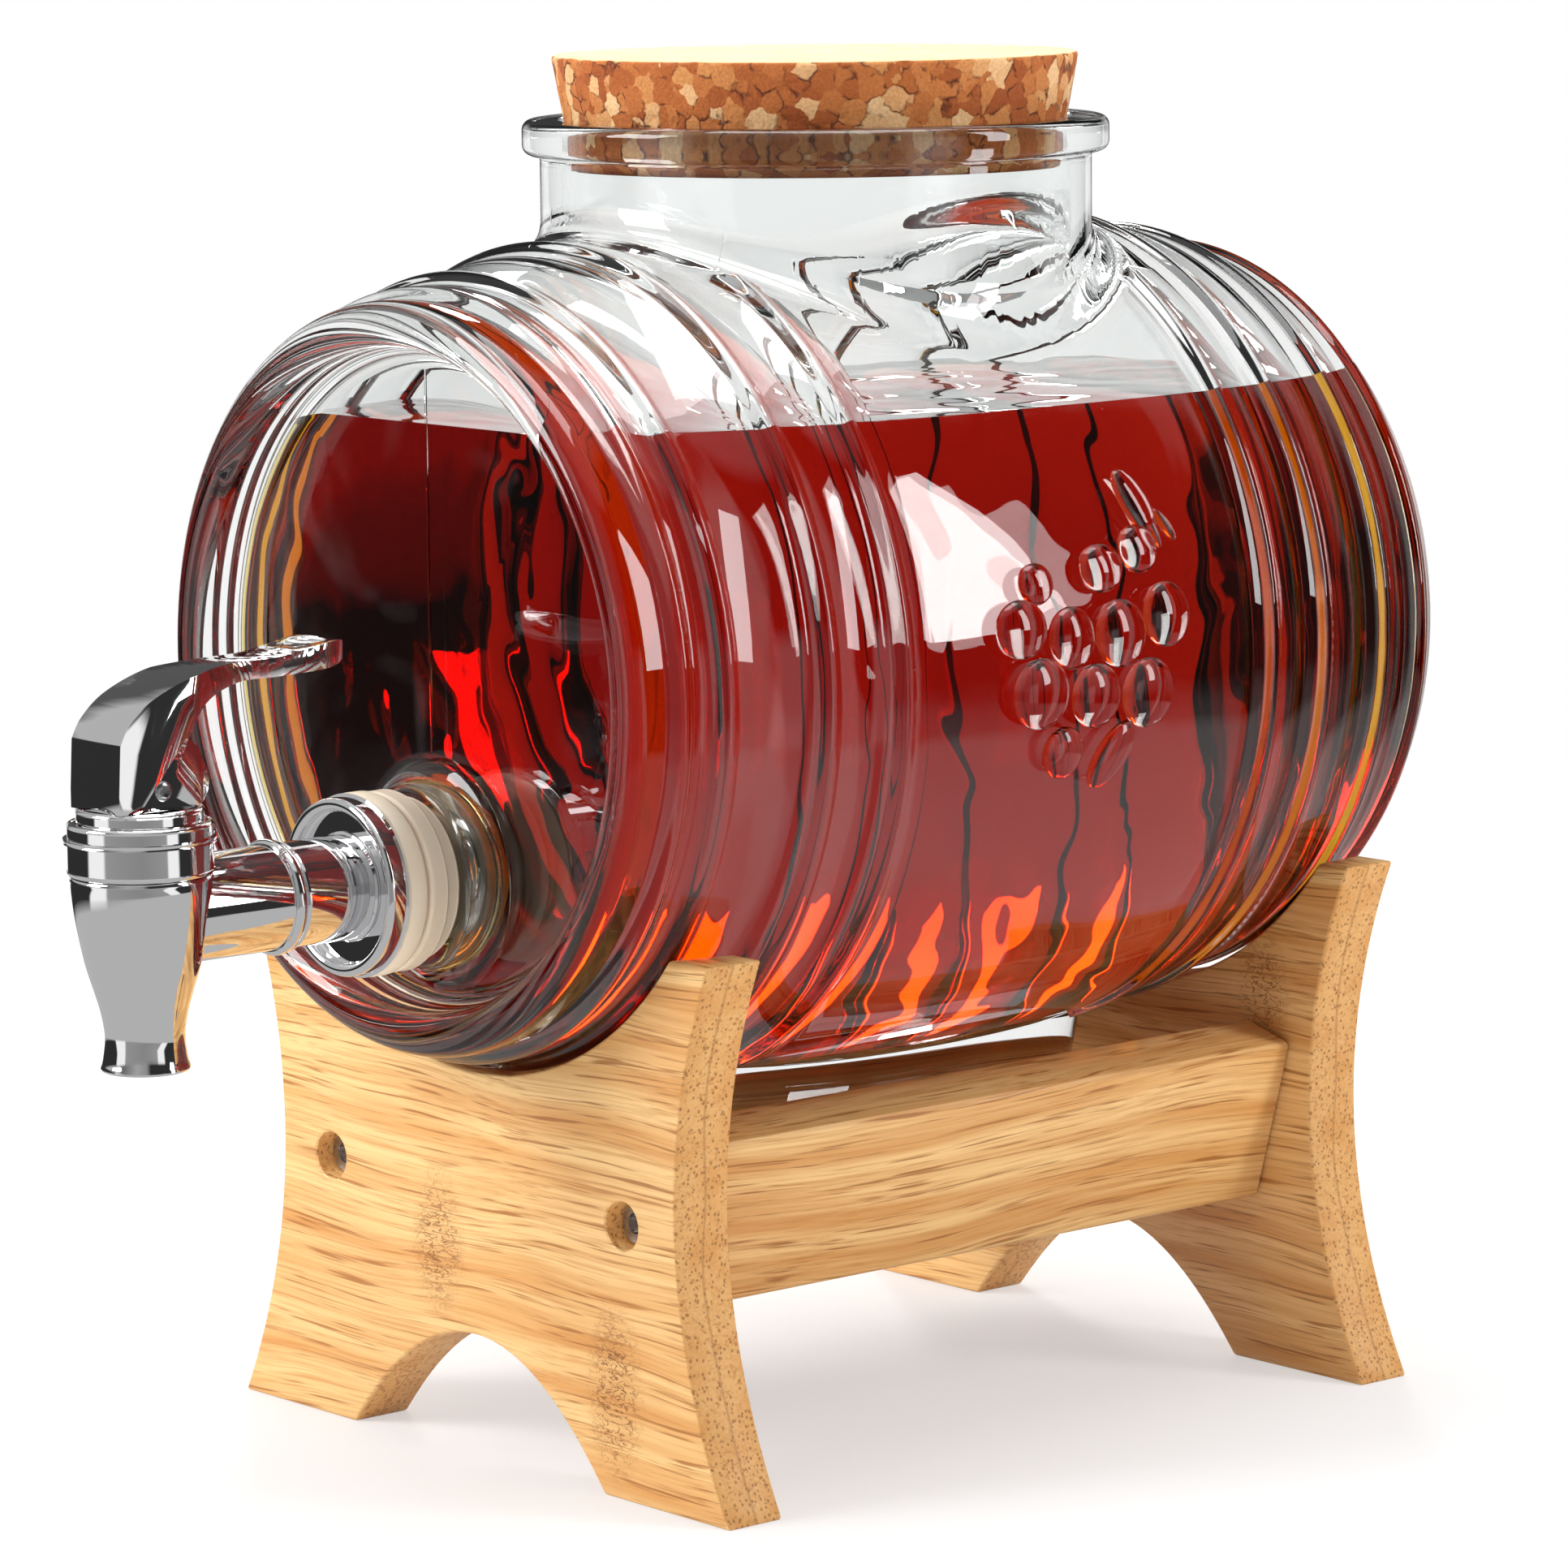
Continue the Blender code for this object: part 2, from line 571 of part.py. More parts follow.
def rail_point(side, along):
    """A point on the middle line of a leaning rail's section, along it from its centre."""
    return (side * (RAIL_CENTRE_X + along * math.sin(RAIL_TILT)),
            RAIL_CENTRE_Z + along * math.cos(RAIL_TILT))


def drill(piece, name, radius, start, end, place, frame, segments=SMALL_SEGMENTS):
    """Cuts a round hole along Y between two positions."""
    outline = [(0, start), (radius, start), (radius, end), (0, end)]
    cutter = turned(name, outline, None, frame, segments=segments, along_y=True,
                    location=(place[0], 0, place[1]))
    boolean(piece, cutter, "DIFFERENCE")


def make_board(name, facing, crest, looks, frame):
    """One upright board; facing is -1 at the front and 1 at the rear."""
    middle = facing * BOARD_MIDDLE_OFFSET
    outer = middle + facing * BOARD_THICKNESS / 2
    inner = middle - facing * BOARD_THICKNESS / 2
    outer_radius = crest + FIT_GAP
    inner_radius = max(crest, belly_radius(inner)) + FIT_GAP
    board = extruded(name, board_outline(CRADLE_HALF_WIDTH - HORN_TOP_WIDTH / 2), BOARD_THICKNESS,
                     looks["bamboo"], frame, "Y", location=(0, middle, 0))

    slope = (inner_radius - outer_radius) / (inner - outer)
    ends = sorted((outer + facing * CUT_OVERRUN, inner - facing * CUT_OVERRUN))
    radii = [outer_radius + slope * (end - outer) for end in ends]
    cradle = [(0, ends[0]), (radii[0], ends[0]), (radii[1], ends[1]), (0, ends[1])]
    boolean(board, turned(f"{name} cradle", cradle, None, frame, segments=3 * SMALL_SEGMENTS,
                          along_y=True, location=(0, 0, BARREL_AXIS_HEIGHT)), "DIFFERENCE")
    bevel(board, BOARD_EDGE_ROUNDING)

    for side in (-1, 1):
        screw_place = rail_point(side, 0)
        dowel_place = rail_point(side, -DOWEL_BELOW_SCREW)
        counterbore = sorted((outer + facing * CUT_OVERRUN, outer - facing * COUNTERBORE_DEPTH))
        through = sorted((outer, inner - facing * CUT_OVERRUN))
        socket = sorted((inner - facing * CUT_OVERRUN, inner + facing * (DOWEL_DEPTH_IN_BOARD + FIT_GAP)))
        drill(board, f"{name} counterbore {side}", COUNTERBORE_RADIUS, *counterbore, screw_place, frame,
              segments=TURNED_SEGMENTS)
        drill(board, f"{name} screw hole {side}", SCREW_RADIUS + FIT_GAP, *through, screw_place, frame)
        drill(board, f"{name} dowel hole {side}", DOWEL_RADIUS + FIT_GAP, *socket, dowel_place, frame)
    shade(board)


def make_rail(name, side, looks, frame):
    length = STAND_LENGTH - 2 * BOARD_THICKNESS - 2 * FIT_GAP
    half_width = RAIL_THICKNESS / 2
    half_height = RAIL_HEIGHT / 2
    section = [(-half_width, -half_height), (half_width, -half_height),
               (half_width, half_height), (-half_width, half_height)]
    turn = Matrix.Rotation(-side * RAIL_TILT, 2)
    centre = rail_point(side, 0)
    leaning = [turn @ Vector(corner) for corner in section]
    outline = [(centre[0] + corner.x, centre[1] + corner.y) for corner in leaning]
    rail = extruded(name, outline, length, looks["bamboo"], frame, "Y")
    bevel(rail, RAIL_EDGE_ROUNDING, segments=1)
    for facing in (-1, 1):
        end = facing * length / 2
        dowel_in_rail = DOWEL_LENGTH - DOWEL_DEPTH_IN_BOARD
        pilot = sorted((end + facing * CUT_OVERRUN, end - facing * (SCREW_GRIP_IN_RAIL + FIT_GAP)))
        socket = sorted((end + facing * CUT_OVERRUN, end - facing * (dowel_in_rail + FIT_GAP)))
        drill(rail, f"{name} pilot {facing}", SCREW_RADIUS + FIT_GAP, *pilot, centre, frame)
        drill(rail, f"{name} dowel hole {facing}", DOWEL_RADIUS + FIT_GAP, *socket,
              rail_point(side, -DOWEL_BELOW_SCREW), frame)
    shade(rail)


def make_rail_fixings(end_name, facing, side_name, side, looks, frame):
    """The screw in its counterbore and the dowel beside it that keeps the rail from turning."""
    outer = BOARD_MIDDLE_OFFSET + BOARD_THICKNESS / 2
    inner = outer - BOARD_THICKNESS
    seat = outer - COUNTERBORE_DEPTH + FIT_GAP
    head = seat + SCREW_HEAD_HEIGHT
    tip = inner - SCREW_GRIP_IN_RAIL
    outline = [(0, tip), (SCREW_RADIUS / 2, tip), (SCREW_RADIUS, tip + SCREW_RADIUS), (SCREW_RADIUS, seat),
               (SCREW_HEAD_RADIUS, seat), (SCREW_HEAD_RADIUS, head), (SCREW_SOCKET_RADIUS, head),
               (SCREW_SOCKET_RADIUS, head - SCREW_SOCKET_DEPTH), (0, head - SCREW_SOCKET_DEPTH)]
    place = rail_point(side, 0)
    screw = turned(f"screw_{end_name}_{side_name}", outline, looks["steel"], frame,
                   segments=SMALL_SEGMENTS, along_y=True, location=(place[0], 0, place[1]))
    start = inner + DOWEL_DEPTH_IN_BOARD
    end = start - DOWEL_LENGTH
    nose = DOWEL_CHAMFER
    dowel_outline = [(0, end), (DOWEL_RADIUS - nose, end), (DOWEL_RADIUS, end + nose),
                     (DOWEL_RADIUS, start - nose), (DOWEL_RADIUS - nose, start), (0, start)]
    place = rail_point(side, -DOWEL_BELOW_SCREW)
    dowel = turned(f"dowel_{end_name}_{side_name}", dowel_outline, looks["beech"], frame,
                   segments=SMALL_SEGMENTS, along_y=True, location=(place[0], 0, place[1]))
    for piece in (screw, dowel):
        if facing < 0:
            piece.rotation_euler.x += math.pi
        shade(piece)


def make_stand(looks, frame):
    make_board("front_board", -1, hoop_crest(FRONT_HOOP_OFFSETS[0]), looks, frame)
    make_board("rear_board", 1, hoop_crest(REAR_HOOP_OFFSETS[0]), looks, frame)
    for side_name, side in (("left", -1), ("right", 1)):
        make_rail(f"rail_{side_name}", side, looks, frame)
        for end_name, facing in (("front", -1), ("rear", 1)):
            make_rail_fixings(end_name, facing, side_name, side, looks, frame)


# Spigot body and the stack that clamps it to the glass

def body_outline():
    """Shoulder, swelling body, slim waist and flared lip of the spout, (radius, height)."""
    shoulder = BODY_SHOULDER_HEIGHT
    fall = shoulder + NOZZLE_DROP
    waist = BODY_RADIUS - NOZZLE_WAIST_RADIUS
    shape_shares = ((0.075, 0), (0.22, 0.11), (0.44, 0.39), (0.6, 0.7), (0.7, 0.88), (0.82, 1), (0.93, 0.93))
    points = [(0, BODY_NECK_HEIGHT), (BODY_NECK_RADIUS, BODY_NECK_HEIGHT), (BODY_NECK_RADIUS, shoulder),
              (BODY_RADIUS, shoulder)]
    points += [(BODY_RADIUS - waist * narrowing, shoulder - fall * down) for down, narrowing in shape_shares]
    points += [(NOZZLE_LIP_RADIUS, BONNET_EDGE - NOZZLE_DROP), (NOZZLE_LIP_RADIUS, -NOZZLE_DROP),
               (0, -NOZZLE_DROP)]
    return points[::-1]


def stack_place(*lengths):
    """A position along the shank from the spigot's axis, with a gap after each length."""
    return sum(length + FIT_GAP for length in lengths)


def make_spigot_body(looks, frame):
    body = turned("tap_body", body_outline(), looks["chrome"], frame)
    glass_inside = TAP_AXIS_OFFSET - FACE_OFFSET + GLASS_WALL
    nut_end = glass_inside + stack_place(REAR_GASKET_THICKNESS, REAR_WASHER_THICKNESS, NUT_THICKNESS)
    shank_end = nut_end + THREAD_PAST_NUT
    bead = SHANK_LENGTH - SHANK_BEAD_HALF_WIDTH
    outline = [(0, 0), (SHANK_RADIUS, 0), (SHANK_RADIUS, bead - SHANK_BEAD_HALF_WIDTH)]
    swell = (SHANK_BEAD_RADIUS - SHANK_RADIUS, SHANK_BEAD_HALF_WIDTH)
    outline += list(arc((SHANK_RADIUS, bead), swell, -90, 90, 4))[1:]
    outline += [(THREAD_RADIUS, SHANK_LENGTH), (THREAD_RADIUS, shank_end - BONNET_EDGE),
                (THREAD_RADIUS - BONNET_EDGE, shank_end), (0, shank_end)]
    boolean(body, turned("shank", outline, None, frame, along_y=True), "UNION")

    bonnet_room = ring_profile(BONNET_RADIUS + FIT_GAP, BODY_NECK_RADIUS, BODY_SHOULDER_HEIGHT,
                               BODY_NECK_HEIGHT + CUT_OVERRUN)
    boolean(body, turned("bonnet room", bonnet_room, None, frame, closed=True), "DIFFERENCE")
    seat = -SEAT_BELOW_SHANK
    top = BODY_NECK_HEIGHT + CUT_OVERRUN
    bottom = -NOZZLE_DROP - CUT_OVERRUN
    passage = [(0, bottom), (NOZZLE_BORE_RADIUS, bottom), (NOZZLE_BORE_RADIUS, seat),
               (CHAMBER_RADIUS, seat), (CHAMBER_RADIUS, top), (0, top)]
    boolean(body, turned("valve chamber", passage, None, frame), "DIFFERENCE")
    bore = [(0, 0), (SHANK_BORE_RADIUS, 0), (SHANK_BORE_RADIUS, shank_end + CUT_OVERRUN),
            (0, shank_end + CUT_OVERRUN)]
    boolean(body, turned("shank bore", bore, None, frame, along_y=True, segments=SMALL_SEGMENTS),
            "DIFFERENCE")
    shade(body)


def make_stack(looks, frame):
    """Sleeve, flange and gaskets in front of the glass; gasket, washer and nut behind it."""
    def ring(name, profile, look, segments=TURNED_SEGMENTS):
        piece = turned(name, profile, looks[look], frame, segments=segments, closed=True, along_y=True)
        shade(piece)
        return piece

    place = stack_place(SHANK_LENGTH)
    ring("shank_sleeve", ring_profile(SHANK_RADIUS, BORE_RADIUS, place, place + SLEEVE_LENGTH), "chrome")
    place += stack_place(SLEEVE_LENGTH)

    lip_inner = FLANGE_RADIUS - FLANGE_LIP
    rim_front = place - (FLANGE_THICKNESS - FLANGE_FLOOR)
    back = place + FLANGE_FLOOR
    lip = list(arc((FLANGE_RADIUS - FLANGE_LIP / 2, rim_front + FLANGE_LIP / 2),
                   (FLANGE_LIP / 2, FLANGE_LIP / 2), -180, 0, 4))
    cup = [(BORE_RADIUS, place), (lip_inner, place)] + lip + [(FLANGE_RADIUS, back), (BORE_RADIUS, back)]
    ring("flange_cup", cup, "chrome")
    place += stack_place(FLANGE_FLOOR)

    ring("gasket_outer", ring_profile(OUTER_GASKET_RADIUS, BORE_RADIUS, place,
                                      place + OUTER_GASKET_THICKNESS, GASKET_EDGE), "silicone")
    place += stack_place(OUTER_GASKET_THICKNESS)

    end = place + INNER_GASKET_THICKNESS
    step = end - INNER_GASKET_NOSE
    edge = GASKET_EDGE
    inner_gasket = [(BORE_RADIUS, place), (INNER_GASKET_RADIUS - edge, place),
                    (INNER_GASKET_RADIUS, place + edge), (INNER_GASKET_RADIUS, step - edge),
                    (INNER_GASKET_NOSE_RADIUS, step), (INNER_GASKET_NOSE_RADIUS, end - edge),
                    (INNER_GASKET_NOSE_RADIUS - edge, end), (BORE_RADIUS, end)]
    ring("gasket_inner", inner_gasket, "silicone")

    place = TAP_AXIS_OFFSET - FACE_OFFSET + GLASS_WALL + FIT_GAP
    ring("rear_gasket", ring_profile(REAR_GASKET_RADIUS, BORE_RADIUS, place, place + REAR_GASKET_THICKNESS),
         "silicone")
    place += stack_place(REAR_GASKET_THICKNESS)
    ring("rear_washer", ring_profile(REAR_WASHER_RADIUS, BORE_RADIUS, place, place + REAR_WASHER_THICKNESS),
         "steel")
    place += stack_place(REAR_WASHER_THICKNESS)
    make_lock_nut(place, looks, frame)


def make_lock_nut(place, looks, frame):
    corner = NUT_ACROSS_FLATS / math.sqrt(3)
    sides = 6
    outline = [(corner * math.cos(math.tau * index / sides), corner * math.sin(math.tau * index / sides))
               for index in range(sides)]
    nut = extruded("lock_nut", outline, NUT_THICKNESS, looks["plastic"], frame, "Y",
                   location=(0, place + NUT_THICKNESS / 2, 0))
    bevel(nut, NUT_CHAMFER, segments=1, angle=80 * DEGREE)
    half = NUT_THICKNESS / 2 + CUT_OVERRUN
    middle = place + NUT_THICKNESS / 2
    drill(nut, "nut bore", BORE_RADIUS, middle - half, middle + half, (0, 0), frame,
          segments=TURNED_SEGMENTS)
    shade(nut)


# Bonnet, stem, seat cup and spring

def make_bonnet(looks, frame):
    """The screwed ring over the body's neck, and the seal that it clamps round the stem."""
    bottom = BODY_SHOULDER_HEIGHT + FIT_GAP
    top = bottom + BONNET_HEIGHT
    cap = top + BONNET_CAP_HEIGHT
    groove = bottom + BONNET_GROOVE_HEIGHT
    seal_bottom = BODY_NECK_HEIGHT + FIT_GAP
    ceiling = seal_bottom + STEM_SEAL_THICKNESS + FIT_GAP
    thread = BODY_NECK_RADIUS + FIT_GAP
    hole = STEM_RADIUS + FIT_GAP
    edge = BONNET_EDGE
    outline = [(thread, bottom), (BONNET_RADIUS - edge, bottom), (BONNET_RADIUS, bottom + edge),
               (BONNET_RADIUS, groove - BONNET_GROOVE), (BONNET_RADIUS - BONNET_GROOVE, groove),
               (BONNET_RADIUS, groove + BONNET_GROOVE), (BONNET_RADIUS, top - edge),
               (BONNET_RADIUS - edge, top), (BONNET_CAP_RADIUS, top), (BONNET_CAP_RADIUS, cap - edge),
               (BONNET_CAP_RADIUS - edge, cap), (hole, cap), (hole, ceiling), (thread, ceiling)]
    shade(turned("tap_bonnet", outline, looks["chrome"], frame, closed=True))
    seal = ring_profile(BODY_NECK_RADIUS, hole, seal_bottom, seal_bottom + STEM_SEAL_THICKNESS)
    shade(turned("stem_seal", seal, looks["silicone"], frame, closed=True))


def make_stem(looks, frame):
    """The rod that the lever lifts: an eye for the pin, a collar for the spring, a seat cup below."""
    cup_bottom = FIT_GAP - SEAT_BELOW_SHANK
    rod_bottom = cup_bottom + SEAT_CUP_FLOOR + FIT_GAP
    collar_bottom = cup_bottom + SEAT_CUP_HEIGHT + FIT_GAP
    collar_top = collar_bottom + STEM_COLLAR_HEIGHT
    rod = [(0, rod_bottom), (STEM_RADIUS, rod_bottom), (STEM_RADIUS, collar_bottom),
           (STEM_COLLAR_RADIUS, collar_bottom), (STEM_COLLAR_RADIUS, collar_top), (STEM_RADIUS, collar_top),
           (STEM_RADIUS, PIN_HEIGHT), (0, PIN_HEIGHT)]
    stem = turned("stem", rod, looks["plastic"], frame, segments=SMALL_SEGMENTS)
    half = STEM_EYE_HALF_WIDTH
    eye = pin_solid("stem eye", STEM_EYE_RADIUS, half, frame, TURNED_SEGMENTS)
    boolean(stem, eye, "UNION")
    boolean(stem, pin_solid("stem pin hole", PIN_RADIUS + FIT_GAP, half + CUT_OVERRUN, frame,
                            SMALL_SEGMENTS), "DIFFERENCE")
    shade(stem)

    bore = STEM_RADIUS + FIT_GAP
    floor = cup_bottom + SEAT_CUP_FLOOR
    top = cup_bottom + SEAT_CUP_HEIGHT
    cup = [(0, cup_bottom), (SEAT_CUP_RADIUS, cup_bottom), (SEAT_CUP_RADIUS, floor),
           (STEM_COLLAR_RADIUS, top), (bore, top), (bore, floor), (0, floor)]
    shade(turned("seat_cup", cup, looks["silicone"], frame, segments=TURNED_SEGMENTS))
    return collar_top


def pin_solid(name, radius, half_length, frame, segments, look=None, height=PIN_HEIGHT):
    """A round bar along X through the lever's pivot."""
    bm = turned_mesh([(0, -half_length), (radius, -half_length), (radius, half_length), (0, half_length)],
                     segments)
    return new_object(name, bm, look, frame, (0, 0, height), (0, math.pi / 2, 0))


def spring_path(bottom, top):
    """A compression spring's middle line with one close turn at each end."""
    height = top - bottom - 2 * SPRING_WIRE_RADIUS
    end_rise = SPRING_END_TURNS * SPRING_END_PITCH
    turns = 2 * SPRING_END_TURNS + SPRING_ACTIVE_TURNS
    active_pitch = (height - 2 * end_rise) / SPRING_ACTIVE_TURNS
    points = []
    for step in range(turns * SPRING_POINTS_PER_TURN + 1):
        turn = step / SPRING_POINTS_PER_TURN
        lower = min(turn, SPRING_END_TURNS) * SPRING_END_PITCH
        middle = min(max(turn - SPRING_END_TURNS, 0), SPRING_ACTIVE_TURNS) * active_pitch
        upper = max(turn - SPRING_END_TURNS - SPRING_ACTIVE_TURNS, 0) * SPRING_END_PITCH
        angle = math.tau * turn
        points.append(Vector((SPRING_MEAN_RADIUS * math.cos(angle), SPRING_MEAN_RADIUS * math.sin(angle),
                              bottom + SPRING_WIRE_RADIUS + lower + middle + upper)))
    wire = 2 * SPRING_WIRE_RADIUS
    tail = points[0] - (points[1] - points[0]).normalized() * wire
    head = points[-1] + (points[-1] - points[-2]).normalized() * wire
    tail.z = points[0].z
    head.z = points[-1].z
    return [tail] + points + [head]


def least_gap(points):
    """The smallest clear distance between turns that lie a half turn or more apart on the wire."""
    apart = SPRING_POINTS_PER_TURN // 2
    nearest = min((points[j] - points[i]).length for i in range(len(points))
                  for j in range(i + apart, len(points)))
    return nearest - 2 * SPRING_WIRE_RADIUS


def make_spring(bottom, looks, frame):
    """A real coil between the stem's collar and the seal under the bonnet."""
    top = BODY_NECK_HEIGHT
    path = spring_path(bottom + FIT_GAP, top)
    print(f"spring: least gap between turns {least_gap(path) / MM:.2f} mm")
    curve = bpy.data.curves.new("spring", "CURVE")
    curve.dimensions = "3D"
    curve.bevel_depth = SPRING_WIRE_RADIUS
    curve.bevel_resolution = 1
    curve.use_fill_caps = True
    spline = curve.splines.new("POLY")
    spline.points.add(len(path) - 1)
    for point, place in zip(spline.points, path):
        point.co = (*place, 1)
    curve.materials.append(looks["steel"])
    spring = bpy.data.objects.new("spring", curve)
    spring.parent = frame
    bpy.context.collection.objects.link(spring)


# Cam lever

def lever_side():
    """The lever from the side, (along, up) from its pin, clockwise from the block's front corner."""
    arm_top_shares = ((-0.204, 0.38), (-0.157, 0.53), (-0.048, 0.7), (0.139, 0.84), (0.34, 0.9),
                      (0.6, 0.915), (0.76, 0.96), (0.92, 1), (1, 0.93))
    arm_under_shares = ((1, 0.93), (0.95, 0.85), (0.84, 0.79), (0.6, 0.765), (0.41, 0.75), (0.215, 0.61),
                        (0.13, 0.38))
    bottom = -(PIN_ABOVE_CAP - FIT_GAP)
    points = [(-LEVER_FRONT, bottom), (-LEVER_FRONT, 0)]
    for shares in (arm_top_shares, arm_under_shares):
        points += smooth_through([(LEVER_REACH * along, LEVER_RISE * up) for along, up in shares], 3)
    web_foot = arm_under_shares[-1]
    points.append((LEVER_REACH * web_foot[0], LEVER_RISE * web_foot[1]))
    heel_right = HEEL_OFFSET + HEEL_RADIUS
    heel_middle = bottom + HEEL_RADIUS
    points.append((LEVER_REACH * web_foot[0] + HEEL_RADIUS / 2, LEVER_BLOCK_TOP))
    points.append((heel_right - HEEL_RADIUS / 2, LEVER_BLOCK_TOP - HEEL_RADIUS / 4))
    points += arc((HEEL_OFFSET, heel_middle), (HEEL_RADIUS, HEEL_RADIUS), 40, -90, 8)
    return [(along, up) for along, up in points if abs(along) <= heel_right or up > bottom]


def lever_plan():
    """The lever from above, (across, along): square block, slimmer arm and a spoon-shaped tip."""
    block = LEVER_WIDTH / 2
    arm = LEVER_ARM_WIDTH / 2
    tip = LEVER_TIP_WIDTH / 2
    overrun = CUT_OVERRUN
    half = [(block, -LEVER_FRONT - overrun), (block, HEEL_OFFSET + HEEL_RADIUS / 2)]
    half += [(arm + (block - arm) / 4, LEVER_REACH * 0.3), (arm, LEVER_REACH * 0.45),
             (arm + (tip - arm) / 2, LEVER_REACH * 0.68), (tip, LEVER_REACH - tip)]
    half += list(arc((0, LEVER_REACH - tip), (tip, tip), 0, 90, 5))[1:-1]
    return half + [(0, LEVER_REACH)] + [(-across, along) for across, along in reversed(half)]


def make_lever(looks, frame):
    """The side view cut to the plan view, slotted for the stem's eye and dished for the thumb."""
    lever = extruded("lever", lever_side(), LEVER_WIDTH, looks["chrome"], frame, "X",
                     location=(0, 0, PIN_HEIGHT))
    bm = bmesh.new()
    verts = [bm.verts.new((across, along, -LEVER_RISE)) for across, along in lever_plan()]
    face = bm.faces.new(verts)
    grown = bmesh.ops.extrude_face_region(bm, geom=[face])["geom"]
    upper = [v for v in grown if isinstance(v, bmesh.types.BMVert)]
    bmesh.ops.translate(bm, vec=(0, 0, 3 * LEVER_RISE), verts=upper)
    plan = new_object("lever plan", bm, None, frame, (0, 0, PIN_HEIGHT))
    boolean(lever, plan, "INTERSECT")
    bevel(lever, LEVER_EDGE_ROUNDING, segments=2, angle=50 * DEGREE)

    bm = bmesh.new()
    bmesh.ops.create_uvsphere(bm, u_segments=16, v_segments=8, radius=1)
    bmesh.ops.scale(bm, vec=(THUMB_DIMPLE_WIDTH, THUMB_DIMPLE_LENGTH, 2 * THUMB_DIMPLE_DEPTH),
                    verts=bm.verts)
    tip = LEVER_TIP_WIDTH / 2
    dimple_place = (0, LEVER_REACH - tip - THUMB_DIMPLE_WIDTH / 2,
                    PIN_HEIGHT + LEVER_RISE + THUMB_DIMPLE_DEPTH / 2)
    boolean(lever, new_object("thumb dimple", bm, None, frame, dimple_place), "DIFFERENCE")

    bm = bmesh.new()
    bmesh.ops.create_cube(bm, size=1)
    eye_room = STEM_EYE_RADIUS + FIT_GAP
    slot_height = eye_room + PIN_ABOVE_CAP + CUT_OVERRUN
    slot_size = (2 * (STEM_EYE_HALF_WIDTH + FIT_GAP), 2 * SLOT_HALF_LENGTH, slot_height)
    bmesh.ops.scale(bm, vec=slot_size, verts=bm.verts)
    slot_middle = PIN_HEIGHT + eye_room - slot_height / 2
    boolean(lever, new_object("stem slot", bm, None, frame, (0, 0, slot_middle)), "DIFFERENCE")
    boolean(lever, pin_solid("lever pin hole", PIN_RADIUS + FIT_GAP, LEVER_WIDTH, frame, SMALL_SEGMENTS),
            "DIFFERENCE")
    shade(lever)
    pin = pin_solid("lever_pin", PIN_RADIUS, LEVER_WIDTH / 2 - FIT_GAP, frame, SMALL_SEGMENTS,
                    looks["steel"])
    shade(pin)


def main():
    for thing in list(bpy.data.objects):
        bpy.data.objects.remove(thing)
    looks = make_materials()
    stand = empty("stand frame", (0, BARREL_MIDDLE_Y, 0))
    barrel = empty("barrel frame", (0, 0, BARREL_AXIS_HEIGHT), stand)
    tap = empty("tap frame", (0, -TAP_AXIS_OFFSET, -TAP_BELOW_AXIS), barrel)
    make_stand(looks, stand)
    make_barrel(looks, barrel)
    make_cork(looks, barrel)
    make_spigot_body(looks, tap)
    make_stack(looks, tap)
    make_bonnet(looks, tap)
    collar_top = make_stem(looks, tap)
    make_spring(collar_top, looks, tap)
    make_lever(looks, tap)


main()
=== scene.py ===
"""Dresses the glass barrel drink dispenser: bamboo stand, pressed glass, cork, drink and chromed tap."""

import math

import bmesh
import bpy
from mathutils import Matrix, Vector, noise


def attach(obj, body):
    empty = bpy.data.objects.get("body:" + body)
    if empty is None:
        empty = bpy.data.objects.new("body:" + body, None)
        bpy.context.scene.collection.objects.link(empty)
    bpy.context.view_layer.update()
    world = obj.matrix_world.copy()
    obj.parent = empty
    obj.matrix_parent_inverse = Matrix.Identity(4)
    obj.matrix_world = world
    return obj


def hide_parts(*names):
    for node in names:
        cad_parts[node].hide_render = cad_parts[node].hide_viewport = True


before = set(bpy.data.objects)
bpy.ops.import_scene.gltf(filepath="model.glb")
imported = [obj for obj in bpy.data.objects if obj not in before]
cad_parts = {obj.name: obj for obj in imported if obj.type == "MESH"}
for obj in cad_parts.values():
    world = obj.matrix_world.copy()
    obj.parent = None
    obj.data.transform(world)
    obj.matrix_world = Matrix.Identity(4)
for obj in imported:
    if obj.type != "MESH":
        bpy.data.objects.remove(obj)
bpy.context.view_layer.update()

# Studio: white paper sweep under soft daylight boxes, with a camera where the photographer stood.
# The paper keeps the object's shadow near it and fades to clean white further out.

def hex_colour(code):
    """An sRGB hex colour as linear red, green, blue and full alpha."""
    shares = [int(code[i:i + 2], 16) / 255 for i in (0, 2, 4)]
    return (*(s / 12.92 if s <= 0.04045 else ((s + 0.055) / 1.055) ** 2.4 for s in shares), 1.0)


def grey(level):
    return (level, level, level, 1)


def add(tree, kind, inputs=None, **settings):
    """Adds a node; inputs gives sockets, by name or number, a value or another node's output."""
    made = tree.nodes.new(kind)
    for name, value in settings.items():
        setattr(made, name, value)
    for key, value in (inputs or {}).items():
        if isinstance(value, bpy.types.NodeSocket):
            tree.links.new(value, made.inputs[key])
        else:
            made.inputs[key].default_value = value
    return made


def finish(name, shader, volume=None):
    """A material whose surface is what shader(tree) returns."""
    made = bpy.data.materials.new(name)
    made.use_nodes = True
    tree = made.node_tree
    tree.nodes.clear()
    out = add(tree, "ShaderNodeOutputMaterial", {"Surface": shader(tree).outputs[0]})
    if volume:
        tree.links.new(volume(tree).outputs[0], out.inputs["Volume"])
    return made


